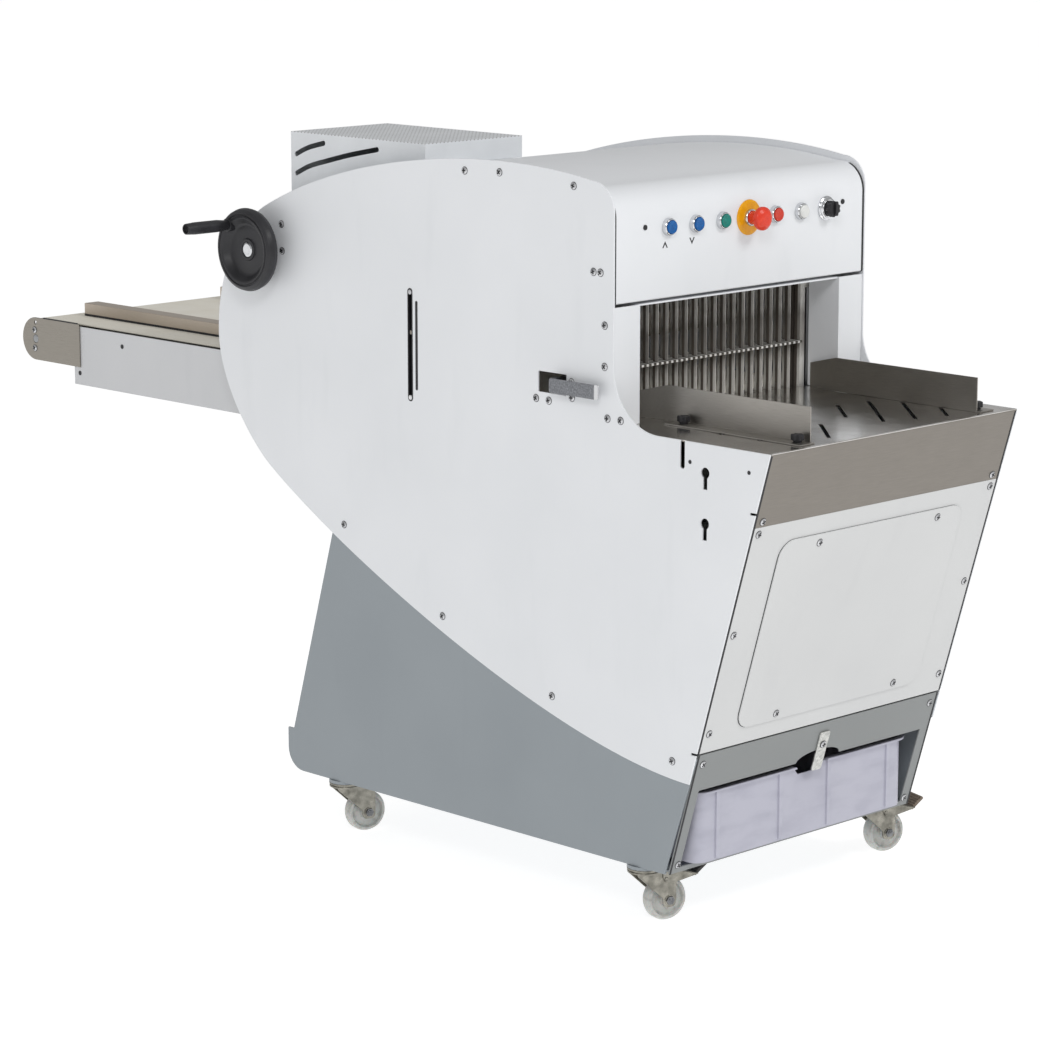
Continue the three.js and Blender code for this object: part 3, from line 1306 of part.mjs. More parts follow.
// Brake pedal: a pressed channel over the wheel with a tread at its end
function brakePedal() {
  const innerHalf = forkInnerHalfWidth + forkSheet + clearance;
  const outerHalf = innerHalf + pedalSheet;
  const topZ = casterHeadTopZ - casterHeadHeight - clearance;
  const underZ = topZ - pedalSheet;
  const tipZ = topZ - pedalTipDrop;
  const startX = casterTrail + forkBossRadius;
  const skirt = outline([
    [pedalRear, topZ], [pedalRear, topZ - pedalSkirt / 2], [pedalPivotX, topZ - pedalSkirt],
    [startX, topZ - pedalSkirt], [pedalReach, tipZ - pedalSheet], [pedalReach, tipZ], [startX, topZ],
  ]);
  const skirts = [-1, 1].map((side) => alongY(skirt, side * innerHalf, side * outerHalf));
  const bridge = outline([
    [startX, topZ], [startX, underZ], [pedalReach, tipZ - pedalSheet], [pedalReach, tipZ],
  ]);
  const deck = alongY(bridge, -outerHalf, outerHalf);
  const angle = THREE.MathUtils.degToRad(pedalPadDegrees);
  const along = new THREE.Vector2(Math.cos(angle), Math.sin(angle)).multiplyScalar(pedalPadLength);
  const padStart = new THREE.Vector2(pedalReach - pedalPadThickness, tipZ - pedalPadThickness / 2);
  const pad = slotShape(padStart, padStart.clone().add(along), pedalPadThickness);
  const tread = alongY(pad, -innerHalf, innerHalf);
  const holes = [-1, 1].map((side) => bar("y", pedalPinRadius + clearance, -overrun, overrun, pedalPivotX,
    side * innerHalf, pedalPivotZ, pinSides));
  return cut(join([...skirts, deck, tread]), holes);
}

// The machine
const machine = new THREE.Group();

machine.add(part("left_side_panel", sidePanel(-1).add(leverBracket()), whitePaint()));
machine.add(part("right_side_panel", sidePanel(1), whitePaint()));
machine.add(part("left_base_panel", basePanel(-1), greyPaint()));
machine.add(part("right_base_panel", basePanel(1), greyPaint()));
machine.add(part("base_floor", baseFloor(), greyPaint()));
machine.add(part("control_hood", controlHood(), whitePaint()));
machine.add(part("rear_cover", rearCover(), whitePaint()));
machine.add(part("belly_cover", bellyCover(), whitePaint()));
machine.add(part("top_box", topBox(), whitePaint()));
machine.add(part("mouth_surround", mouthSurround(), whitePaint()));
machine.add(part("outfeed_tray", outfeedTray(), stainless()));
machine.add(part("left_guide", breadGuide(leftGuideX, -1), stainless()));
machine.add(part("right_guide", breadGuide(rightGuideX, 1), stainless()));
machine.add(part("front_panel", frontPanel(), whitePaint()));
machine.add(part("crumb_crate", crumbCrate(), cratePlastic()));
machine.add(part("cutter_frame", cutterFrame(), machinedSteel()));
machine.add(part("eccentric_shaft", eccentricShaft(), machinedSteel()));
machine.add(part("main_motor", mainMotor(), motorPaint()));
machine.add(part("conveyor_frame", conveyorFrame(), whitePaint()));
machine.add(part("feed_belt", feedBelt(), beltCanvas()));
machine.add(part("left_end_plate", endPlate(-1), stainless()));
machine.add(part("right_end_plate", endPlate(1), stainless()));
machine.add(part("left_bread_rail", breadRail(leftRailX, -1), stainless()));
machine.add(part("right_bread_rail", breadRail(rightRailX, 1), stainless()));
machine.add(part("press_unit", pressUnit(), stainless()));
machine.add(part("blade_comb", bladeComb(), stainless()));
machine.add(part("side_lever", sideLever(), stainless()));

// Blade frames and their rods: the front frame holds the first blade, the rear frame the second, and so on
const rearBladesY = bladesFrontY + bladeDepth + bladePlaneGap;
machine.add(part("front_blade_frame",
  bladeFrame(bladesFrontY, 0, frontShoeUpperZ, frontShoeLowerZ, -conRodX), machinedSteel()));
machine.add(part("rear_blade_frame",
  bladeFrame(rearBladesY, 1, rearShoeUpperZ, rearShoeLowerZ, conRodX), machinedSteel()));
machine.add(part("front_con_rod", conRod(bladesFrontY, -conRodX), machinedSteel()));
machine.add(part("rear_con_rod", conRod(rearBladesY, conRodX), machinedSteel()));

const screw = part("lift_screw", liftScrew(), machinedSteel());
screw.position.y = screwY;
machine.add(screw);

const driveRoller = part("drive_roller", roller(conveyorHalfWidth), machinedSteel());
driveRoller.position.set(0, driveRollerY, rollerZ);
const tailRoller = part("tail_roller", roller(conveyorHalfWidth + clearance + steelSheet), machinedSteel());
tailRoller.position.set(0, tailRollerY, rollerZ);
machine.add(driveRoller, tailRoller);

// Access cover, lower frame and latch lie on the leaning front
const cover = part("access_cover", accessCover(), whitePaint());
cover.position.set(0, frontPlaneY(accessBottomZ), accessBottomZ);
cover.rotation.x = Math.PI / 2 + leanAngle;
machine.add(cover);

const pivot = new THREE.Matrix4().makeRotationX(Math.PI / 2 + leanAngle);
pivot.setPosition(archX, frontPlaneY(latchPivotZ), latchPivotZ);
const pinGeometry = geometryOf(latchPin()).applyMatrix4(pivot);
machine.add(part("lower_front_frame", lowerFrame().add(solid(pinGeometry)), greyPaint()));

const latch = part("crate_latch", latchStrap(), stainless());
latch.applyMatrix4(pivot);
machine.add(latch);

// Star knobs on the guides' feet
const knobNames = ["left_front_knob", "left_rear_knob", "right_front_knob", "right_rear_knob"];
const knobSeatZ = lipZ + 2 * clearance + guideSheet;
knobPlaces().forEach(([x, y], i) => {
  const knob = part(knobNames[i], starKnob(), blackPlastic());
  knob.position.set(x, y, knobSeatZ);
  machine.add(knob);
});

// Controls on the hood, from left to right
const controls = [
  ["up_button", pushButton, 0x1f5fae],
  ["down_button", pushButton, 0x1f5fae],
  ["start_button", pushButton, 0x2c9a86],
  ["emergency_button", stopMushroom, 0xe8402a],
  ["stop_button", pushButton, 0xe8402a],
  ["reset_button", pushButton, 0xeeeeea],
  ["selector_knob", selectorKnob, 0x1c1c1e],
];
controls.forEach(([name, make, color], i) => {
  const control = part(name, make(), coloured(color));
  control.position.set(controlX(i), hoodFaceY, controlZ);
  machine.add(control);
});

// Handwheel on the left side, with the grip on its pin
const crank = new THREE.Group();
crank.position.set(-panelOuterX, handwheelY, handwheelZ);
crank.add(part("handwheel", handwheel(), blackPlastic()));
const grip = part("crank_grip", crankGrip(), blackPlastic());
grip.position.set(-handwheelStandOff - handwheelRim - clearance, gripPlace().x, gripPlace().y);
crank.add(grip);
machine.add(crank);

// Casters: the front pair carries brake pedals
const casterNames = ["front_left", "front_right", "rear_left", "rear_right"];
casterPlaces().forEach(([x, y], i) => {
  const braked = y === frontCasterY;
  const { fork, pins } = casterFork();
  const caster = new THREE.Group();
  caster.position.set(x, y, 0);
  caster.rotation.z = THREE.MathUtils.degToRad(casterTurnDegrees);
  caster.add(part(casterNames[i] + "_fork", braked ? join([fork, ...pins]) : fork, zinc()));
  const wheel = part(casterNames[i] + "_wheel", casterWheel(), whiteNylon());
  wheel.position.set(casterTrail, 0, wheelRadius);
  caster.add(wheel);
  if (braked) caster.add(part(casterNames[i] + "_pedal", brakePedal(), zinc()));
  machine.add(caster);
});

// The origin goes under the middle of the bounding box
const extent = new THREE.Box3().setFromObject(machine, true);
const middle = extent.getCenter(new THREE.Vector3());
machine.position.set(-middle.x, -middle.y, -extent.min.z);

const breadSlicer = new THREE.Group();
breadSlicer.name = "bread_slicer";
breadSlicer.add(machine);

export default breadSlicer;
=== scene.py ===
import math

import bmesh
import bpy
from mathutils import Matrix, Vector
from mathutils.geometry import interpolate_bezier


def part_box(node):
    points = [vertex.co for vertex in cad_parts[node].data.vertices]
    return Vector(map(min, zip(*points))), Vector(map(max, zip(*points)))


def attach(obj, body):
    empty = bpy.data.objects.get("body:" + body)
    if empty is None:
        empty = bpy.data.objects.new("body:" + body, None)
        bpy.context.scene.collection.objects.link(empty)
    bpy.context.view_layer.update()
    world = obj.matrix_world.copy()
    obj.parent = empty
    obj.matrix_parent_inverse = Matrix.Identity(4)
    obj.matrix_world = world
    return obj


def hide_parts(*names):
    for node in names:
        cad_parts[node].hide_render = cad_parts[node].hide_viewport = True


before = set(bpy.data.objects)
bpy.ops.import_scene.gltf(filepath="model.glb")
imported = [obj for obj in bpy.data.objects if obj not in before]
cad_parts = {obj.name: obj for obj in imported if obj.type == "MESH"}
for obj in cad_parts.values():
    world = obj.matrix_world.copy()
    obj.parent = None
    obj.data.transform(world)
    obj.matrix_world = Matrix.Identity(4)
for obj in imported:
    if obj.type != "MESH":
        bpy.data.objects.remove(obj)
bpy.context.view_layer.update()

# The grey base is folded sheet steel, powder coated: a floor pan with its rear wall, crate runners and
# caster pads, and a laser-cut panel on each side. Every later piece is placed from the same two values:
# the middle between the side panels, and the line of the front wheels below the tray's lip.
mm = 0.001
lip_y = -282
lip_z = 837
lean = math.radians(16.4)
panel_outer_x = 315
panel_sheet = 3
gap = 0.3
fine_edge = 0.4
plain_edge = 0.5
sheet_corner = 2
flat_angle = math.radians(1)
sharp_angle = math.radians(30)
base_sheet = 3
base_bottom_z = 103
base_rear_y = 874
base_overlap = 45
bumper_y = 890
bumper_top_z = 180
bumper_radius = 40
foot_z = 268
heel = (929, 665)
belly_shares = ((0.183, 0.338), (0.699, 0.975))
left_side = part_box("left_side_panel")
right_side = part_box("right_side_panel")
machine_origin = Vector((
    (left_side[0].x + right_side[1].x) / 2,
    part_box("outfeed_tray")[0].y - lip_y * mm,
    0,
))
machine_place = Matrix.Translation(machine_origin)


def moved(place, x=0, y=0, z=0):
    """A place moved along its own axes, in millimetres"""
    return place @ Matrix.Translation(Vector((x, y, z)) * mm)


def lay(across, up, out, at=(0, 0, 0), base=machine_place):
    """Where a drawing lies: its two directions, its normal, and its origin in millimetres"""
    return moved(base, *at) @ Matrix((across, up, out)).transposed().to_4x4()


def facing_x(x):
    return lay((0, 1, 0), (0, 0, 1), (1, 0, 0), (x, 0, 0))


def facing_front(x=0, y=0, z=0, base=machine_place):
    return lay((1, 0, 0), (0, 0, 1), (0, -1, 0), (x, y, z), base)


def front_plane_y(z):
    return lip_y + (lip_z - z) * math.tan(lean)


def swept(start, end, shares, steps=24):
    """Points of a curve between two points, with its handles as shares of the way between them"""
    first = Vector((*start, 0))
    last = Vector((*end, 0))
    span = last - first
    handles = [first + Vector((a * span.x, b * span.y, 0)) for a, b in shares]
    return [point[:2] for point in interpolate_bezier(first, handles[0], handles[1], last, steps)]


def drawn(corners, steps=8, support=1.5):
    """An outline from its corners (a, b), or (a, b, radius) where the corner is round"""
    path = []
    for index, corner in enumerate(corners):
        here = Vector((*corner[:2], 0))
        if len(corner) == 2:
            path.append(here)
            continue
        before = (Vector((*corners[index - 1][:2], 0)) - here).normalized()
        after = (Vector((*corners[(index + 1) % len(corners)][:2], 0)) - here).normalized()
        half = before.angle(after) / 2
        reach = corner[2] / math.tan(half)
        handle = 4 / 3 * math.tan((math.pi / 2 - half) / 2) * corner[2]
        start = here + before * reach
        end = here + after * reach
        bend = interpolate_bezier(start, start - before * handle, end - after * handle, end, steps + 1)
        if corner[2] > 3 * support:
            bend = [start + before * support, *bend, end + after * support]
        path += bend
    return [tuple(point[:2]) for point in path]


def arc(a, b, radius, start=0, end=2 * math.pi, steps=32):
    """Points of an arc round (a, b), from one angle to another"""
    turns = [start + (end - start) * index / steps for index in range(steps + 1)]
    return [(a + radius * math.cos(turn), b + radius * math.sin(turn)) for turn in turns]


def round_hole(a, b, radius, steps=24):
    return arc(a, b, radius, steps=steps)[:-1]


def box_outline(a_low, a_high, b_low, b_high, radius=0):
    corners = [(a_low, b_low), (a_high, b_low), (a_high, b_high), (a_low, b_high)]
    return drawn([(*corner, radius) for corner in corners] if radius else corners)


def gathered(shapes):
    """One bmesh of several shapes, which are used up"""
    made = bmesh.new()
    for shape in shapes:
        made.from_mesh(shape)
        bpy.data.meshes.remove(shape)
    return made


def closed_shape(made):
    """The mesh of a bmesh, with its doubles merged and then its faces turned outwards"""
    bmesh.ops.remove_doubles(made, verts=made.verts, dist=mm / 1000)
    bmesh.ops.recalc_face_normals(made, faces=made.faces)
    shape = bpy.data.meshes.new("shape")
    made.to_mesh(shape)
    made.free()
    return shape


def cut_sheet(loops, thickness, place, edge=plain_edge):
    """A flat sheet cut along outlines in millimetres, with softened edges, lying halfway on its drawing"""
    drawing = bpy.data.curves.new("drawing", "CURVE")
    drawing.dimensions = "2D"
    drawing.fill_mode = "BOTH"
    drawing.bevel_depth = edge * mm
    drawing.bevel_resolution = 1
    drawing.offset = -edge * mm
    drawing.extrude = (thickness / 2 - edge) * mm
    for loop in loops:
        spline = drawing.splines.new("POLY")
        spline.points.add(len(loop) - 1)
        for point, (a, b) in zip(spline.points, loop):
            point.co = (a * mm, b * mm, 0, 1)
        spline.use_cyclic_u = True
    holder = bpy.data.objects.new("drawing", drawing)
    flat = bpy.data.meshes.new_from_object(holder)
    flat.transform(place)
    bpy.data.objects.remove(holder)
    bpy.data.curves.remove(drawing)
    return closed_shape(gathered([flat]))


def in_scene(name, data):
    """A new object in the scene, unturned at the origin"""
    made = bpy.data.objects.new(name, data)
    bpy.context.scene.collection.objects.link(made)
    return made


def piece(name, *shapes, sharp=14):
    """A finished piece made of one or more shapes, smooth on its curves and crisp at its edges"""
    whole = gathered(shapes)
    mesh = bpy.data.meshes.new(name)
    whole.to_mesh(mesh)
    whole.free()
    mesh.shade_smooth()
    mesh.set_sharp_from_angle(angle=math.radians(sharp))
    return in_scene(name, mesh)


def eased_copy(node, edge):
    """A copy of a CAD node with its flat faces joined and its sharp edges eased"""
    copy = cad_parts[node].data.copy()
    if "custom_normal" in copy.attributes:
        copy.attributes.remove(copy.attributes["custom_normal"])
    made = gathered([copy])
    bmesh.ops.remove_doubles(made, verts=made.verts, dist=mm / 100)
    bmesh.ops.dissolve_limit(made, angle_limit=flat_angle, verts=made.verts, edges=made.edges)
    sharp = [line for line in made.edges if line.is_manifold and line.calc_face_angle() > sharp_angle]
    bmesh.ops.bevel(made, geom=sharp, offset=edge * mm, segments=2, affect="EDGES", profile=0.5,
                    material=-1, clamp_overlap=True)
    return closed_shape(made)


class Wire:
    """A socket of a finish, which can be used in a sum like a number"""

    def __init__(self, finish, socket):
        self.finish = finish
        self.socket = socket

    def maths(self, operation, other):
        return self.finish.node("ShaderNodeMath", {"operation": operation}, {0: self, 1: other})

    def __add__(self, other):
        return self.maths("ADD", other)

    def __mul__(self, other):
        return self.maths("MULTIPLY", other)

    __radd__ = __add__


class Finish:
    """A surface finish: one shader, and the nodes that vary it over the piece"""

    def __init__(self, name, constants):
        self.material = bpy.data.materials.new(name)
        self.material.use_nodes = True
        self.shader = self.material.node_tree.nodes["Principled BSDF"]
        self.relief = None
        for socket, value in constants.items():
            self.shader.inputs[socket].default_value = value

    def plug(self, socket, value):
        """Sets a socket to a wire, a colour's six digits, or a plain value"""
        if isinstance(value, Wire):
            self.material.node_tree.links.new(value.socket, socket)
        else:
            socket.default_value = tone(value) if isinstance(value, str) else value

    def node(self, kind, settings, sockets, result=0):
        made = self.material.node_tree.nodes.new(kind)
        for name, value in settings.items():
            setattr(made, name, value)
        for name, value in sockets.items():
            self.plug(made.inputs[name], value)
        return Wire(self, made.outputs[result])

    def spot(self, stretch=(1, 1, 1)):
        """The place on the piece, stretched along its axes"""
        place = self.node("ShaderNodeTexCoord", {}, {}, "Object")
        return self.node("ShaderNodeMapping", {}, {"Vector": place, "Scale": stretch})

    def along(self, axis):
        return self.node("ShaderNodeSeparateXYZ", {}, {"Vector": self.spot()}, axis)

    def noise(self, size, detail=3, stretch=(1, 1, 1)):
        """Random patches of about the given size in millimetres"""
        sockets = {"Vector": self.spot(stretch), "Scale": 1 / (size * mm), "Detail": detail}
        return self.node("ShaderNodeTexNoise", {}, sockets)

    def between(self, value, low, high, low_result=0, high_result=1):
        """A value brought from one range to another, and held to it"""
        names = ("Value", "From Min", "From Max", "To Min", "To Max")
        sockets = dict(zip(names, (value, low, high, low_result, high_result)))
        return self.node("ShaderNodeMapRange", {"clamp": True}, sockets)

    def blend(self, mask, colour, other):
        return self.node("ShaderNodeMix", {"data_type": "RGBA"}, {0: mask, 6: colour, 7: other}, 2)

    def raise_by(self, height, depth, strength):
        """Relief of a depth in millimetres, on top of the relief there is"""
        sockets = {"Height": height, "Distance": depth * mm, "Strength": strength}
        if self.relief:
            sockets["Normal"] = self.relief
        self.relief = self.node("ShaderNodeBump", {}, sockets)
        self.plug(self.shader.inputs["Normal"], self.relief)

    def colour(self, value):
        self.plug(self.shader.inputs["Base Color"], value)

    def rough(self, value):
        self.plug(self.shader.inputs["Roughness"], value)


def tone(code):
    """A colour as six hexadecimal digits to the shader's linear values"""
    parts = [int(code[start:start + 2], 16) / 255 for start in (0, 2, 4)]
    linear = [part / 12.92 if part < 0.04 else ((part + 0.055) / 1.055) ** 2.4 for part in parts]
    return (*linear, 1)


def powder_coat(name, clean, worn, gloss):
    """Baked powder paint: orange peel, slightly uneven gloss and faint grey handling marks"""
    paint = Finish(name, {"Metallic": 0, "IOR": 1.5, "Specular IOR Level": 0.5})
    clouds = paint.noise(260, 4)
    streaks = paint.noise(70, 5, (1, 1, 0.22))
    marks = paint.between(streaks, 0.6, 0.82) * 0.35 + paint.between(clouds, 0.35, 0.75) * 0.4
    paint.colour(paint.blend(marks, clean, worn))
    specks = paint.noise(2.6, 2)
    paint.rough(paint.between(clouds, 0.3, 0.7, gloss - 0.05, gloss + 0.06) + specks * 0.06)
    paint.raise_by(specks, 0.05, 0.35)
    paint.raise_by(paint.noise(0.7, 1), 0.02, 0.25)
    return paint


def fit(made, body, slot, finish, *nodes):
    """Puts a piece into the machine: its finish, its body, and the CAD nodes it stands for"""
    made.data.materials.clear()
    made.data.materials.append(finish.material)
    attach(made, body)
    if nodes:
        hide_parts(*nodes)
    return made


def coat(finish, *nodes):
    """Gives CAD nodes their finish"""
    for node in nodes:
        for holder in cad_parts[node].material_slots:
            holder.material = finish.material


def fit_copy(name, node, edge, body, slot, finish, sharp=14):
    """Puts in an eased copy of a CAD node, in the node's place"""
    fit(piece(name, eased_copy(node, edge), sharp=sharp), body, slot, finish, node)


foot = (front_plane_y(foot_z), foot_z)
belly_line = swept(heel, foot, belly_shares, 48)


def rear_plane_y(z):
    return base_rear_y - (z - bumper_top_z) * math.tan(lean)


def base_outline():
    top_z = foot_z + base_overlap
    raised = [(y, z + base_overlap) for y, z in belly_line]
    top = [(y, z) for y, z in raised if front_plane_y(top_z) < y < rear_plane_y(z)]
    return drawn([
        (front_plane_y(base_bottom_z), base_bottom_z, sheet_corner),
        (bumper_y, base_bottom_z, bumper_radius),
        (bumper_y, bumper_top_z, sheet_corner),
        (base_rear_y, bumper_top_z),
        (rear_plane_y(top[0][1]), top[0][1]),
    ]) + top + [(front_plane_y(top_z), top_z)]


grey_paint = powder_coat("grey_paint", "949ba0", "8b9297", 0.46)
base_middle_x = panel_outer_x - panel_sheet - gap - base_sheet / 2
for side, name in ((-1, "left_base_panel"), (1, "right_base_panel")):
    shape = cut_sheet([base_outline()], base_sheet, facing_x(side * base_middle_x))
    fit(piece(name + "_sheet", shape), "machine", "grey_paint", grey_paint, name)
fit_copy("base_floor_pan", "base_floor", fine_edge, "machine", "grey_paint", grey_paint)

# Four swivel casters of pressed zinc-plated steel with solid white nylon wheels on bolted axles. The
# front two have brake pedals, shown pressed down, with a ribbed tread at the tip of each.
caster_x = 286
front_caster_y = 11
rear_caster_y = 762
caster_turn = math.radians(-16.6)
caster_trail = 38
caster_top_z = 96.7
caster_head_radius = 30
caster_head_height = 8
wheel_radius = 37.5
wheel_width = 25
wheel_hub_width = 30
wheel_hub_radius = 13
fork_sheet = 3
fork_inner = 16
fork_boss_radius = 13
axle_nut_radius = 8
axle_nut_height = 5
pedal_sheet = 2
pedal_reach = 92
pedal_drop = 10
pedal_pivot = (30, 76)
pedal_skirt = 20
pedal_rear = 24
tread_length = 30
tread_thickness = 6
tread_turn = math.radians(38)
tread_ribs = 6
race_grooves = ((0, 2.2), (2.4, 3), (2.4, 4.6), (0.6, 5.2))
washer_radius = 9.2
washer_height = 1.2
bolt_radius = 4.4
bolt_chamfer = 0.8
axle_radius = 5
pin_radius = 3
pin_bore_radius = 3.4
wheel_bore_radius = 5.3
wheel_rim_depth = 10
wheel_tread_chamfer = 3
cheek_rise = 4
cheek_edge = 0.7
frame_edge = 0.6
small_edge = 0.2
soft_edge = 0.8


def turned(profile, place, steps=48, corner=0):
    """A turned shape: a profile of (radius, distance) points spun about the drawing's normal"""
    inner = [(*point, corner) if corner and len(point) == 2 else point for point in profile[1:-1]]
    made = bmesh.new()
    line = [made.verts.new((radius * mm, 0, along * mm))
            for radius, along in drawn([profile[0][:2], *inner, profile[-1][:2]], 4, support=0.4)]
    for first, second in zip(line, line[1:]):
        made.edges.new((first, second))
    bmesh.ops.spin(made, geom=[*made.verts, *made.edges], cent=(0, 0, 0), axis=(0, 0, 1),
                   angle=2 * math.pi, steps=steps, use_merge=True)
    bmesh.ops.transform(made, matrix=place, verts=made.verts)
    return closed_shape(made)


def rod(radius, low, high, place, steps=24, corner=0):
    """A round bar, pin or disc from one height over its drawing to another"""
    return turned([(0, low), (radius, low), (radius, high), (0, high)], place, steps, corner)


def mottled(name, constants, colours, patches, grain, spread, gloss, relief, speckle=0, stretch=(1, 1, 1)):
    """Two colours in soft patches that its gloss follows, and a fine raised grain

    Patches and grain are a size in millimetres and a detail; relief is a depth and a strength.
    """
    made = Finish(name, constants)
    clouds = made.noise(*patches, stretch)
    fine = made.noise(*grain)
    made.colour(made.blend(made.between(clouds, *spread), *colours))
    shine = made.between(clouds, 0.3, 0.7, *gloss)
    made.rough(shine + fine * speckle if speckle else shine)
    made.raise_by(fine, *relief)
    return made


def zinc_plate(name, colours, gloss):
    """Zinc plating: a bright grey with soft yellowish clouds and a fine grain"""
    return mottled(name, {"Metallic": 0.85}, colours, (14, 5), (1.2, 3), (0.3, 0.7),
                   (gloss - 0.06, gloss + 0.1), (0.03, 0.4), 0.08)


def nylon_white():
    """Milky moulded nylon, dulled and slightly dirtied by rolling"""
    made = Finish("white_nylon", {"Metallic": 0, "Subsurface Weight": 0.15, "Subsurface Scale": 0.004})
    dirt = made.between(made.noise(9, 5), 0.5, 0.8)
    made.colour(made.blend(dirt * 0.7, "bfc0bc", "807f76"))
    made.rough(made.between(made.noise(3), 0.3, 0.7, 0.36, 0.56))
    made.raise_by(made.noise(1.4), 0.05, 0.4)
    return made


def brake_rubber(name, colours):
    """Moulded tread, dusty on its wide faces"""
    return mottled(name, {"Metallic": 0}, colours, (6, 5), (0.8, 2), (0.4, 0.75), (0.55, 0.8), (0.06, 0.5))


def fork_cheek():
    head = caster_top_z - caster_head_height
    boss = fork_boss_radius
    front = caster_trail - boss
    low = wheel_radius - boss + 0.5
    return drawn([
        (-caster_head_radius * 0.8, head + fork_sheet, 1),
        (-caster_head_radius * 0.75, head - fork_sheet, 4),
        (front, wheel_radius + cheek_rise, 8),
        (caster_trail - boss * 0.94, low, boss * 0.7),
        (caster_trail + boss * 0.94, low, boss * 0.7),
        (caster_trail + boss, wheel_radius + 1.5 * cheek_rise, 6),
        (caster_trail + boss, head - 2 * fork_sheet, 5),
        (caster_head_radius * 0.8, head + fork_sheet, 1),
    ])


def fork_shapes(stand, with_pins):
    """The steel of a fork and its axle nuts: head with its ball race, two cheeks, axle, pedal's pins"""
    top = caster_top_z
    low = top - caster_head_height
    grooves = [(caster_head_radius - depth, top - drop) for depth, drop in race_grooves]
    race = [(0, top), (caster_head_radius, top), *grooves, (grooves[-1][0], low), (0, low)]
    axle_place = facing_front(caster_trail, 0, wheel_radius, stand)
    steel = [turned(race, stand, corner=plain_edge), rod(axle_radius, -fork_inner, fork_inner, axle_place)]
    nuts = []
    for side in (-1, 1):
        cheek_place = facing_front(0, side * (fork_inner + fork_sheet / 2), 0, stand)
        steel.append(cut_sheet([fork_cheek()], fork_sheet, cheek_place, cheek_edge))
        at = (caster_trail, side * (fork_inner + fork_sheet), wheel_radius)
        out_place = lay((1, 0, 0), (0, 0, -side), (0, side, 0), at, stand)
        steel.append(rod(washer_radius, 0, washer_height, out_place, 32, small_edge))
        height = axle_nut_height
        hexagon = round_hole(0, 0, axle_nut_radius, 6)
        nut = height - bolt_chamfer
        nuts.append(cut_sheet([hexagon], nut, moved(out_place, z=nut / 2), frame_edge))
        nuts.append(turned([(0, 0), (bolt_radius, 0), (bolt_radius, height - 0.5),
                            (bolt_radius - bolt_chamfer, height), (0, height)], out_place, 24, small_edge))
        if with_pins:
            pin_at = (pedal_pivot[0] - caster_trail, (pedal_pivot[1] - wheel_radius) * -side)
            pin_place = moved(out_place, *pin_at)
            steel.append(rod(pin_radius, -fork_sheet, fork_sheet, pin_place, corner=fine_edge))
    return steel, nuts


def wheel_shape(stand):
    half = wheel_width / 2
    hub = wheel_hub_width / 2
    rim = wheel_radius - wheel_rim_depth
    right = [
        (wheel_bore_radius, hub), (wheel_hub_radius, hub, 1.5), (wheel_hub_radius + 1, half * 0.5, 2),
        (rim, half * 0.5, 2), (rim + 2.5, half, 1.5), (wheel_radius - wheel_tread_chamfer, half, 3),
        (wheel_radius, half * 0.45, 6),
    ]
    left = [(radius, -along, *rest) for radius, along, *rest in reversed(right)]
    return turned([*right, *left, right[0]], facing_front(caster_trail, 0, wheel_radius, stand), 72)


def pedal_shapes(stand):
    """The pressed channel of a brake pedal, and its ribbed tread"""
    inner = fork_inner + fork_sheet + gap
    outer = inner + pedal_sheet
    top = caster_top_z - caster_head_height - gap
    tip = top - pedal_drop
    start = caster_trail + fork_boss_radius
    skirt = drawn([
        (pedal_rear, top, 2), (pedal_rear, top - pedal_skirt / 2, 3), (pedal_pivot[0], top - pedal_skirt, 6),
        (start, top - pedal_skirt, 8), (pedal_reach, tip - pedal_sheet), (pedal_reach, tip), (start, top, 6),
    ])
    walls = [
        cut_sheet([skirt, round_hole(*pedal_pivot, pin_bore_radius)], pedal_sheet,
                  facing_front(0, side * (inner + outer) / 2, 0, stand), fine_edge)
        for side in (-1, 1)
    ]
    deck = [(start, top), (start, top - pedal_sheet), (pedal_reach, tip - pedal_sheet), (pedal_reach, tip)]
    half = tread_thickness / 2
    along = (math.cos(tread_turn), 0, math.sin(tread_turn))
    rise = (-math.sin(tread_turn), 0, math.cos(tread_turn))
    tread_place = lay(along, rise, (0, -1, 0), (pedal_reach - tread_thickness, 0, tip - half), stand)
    pitch = tread_length / tread_ribs
    ribbed = [(0, -half, 1), (tread_length, -half, 2), (tread_length, half - 1, 1)]
    rib = ((0.72, half - 1), (0.6, half), (0.2, half), (0.08, half - 1))
    for index in reversed(range(tread_ribs)):
        ribbed += [((index + share) * pitch, height) for share, height in rib]
    tread = cut_sheet([drawn(ribbed, 4)], 2 * inner - 1, tread_place)
    return [*walls, cut_sheet([deck], 2 * outer, facing_front(base=stand))], tread


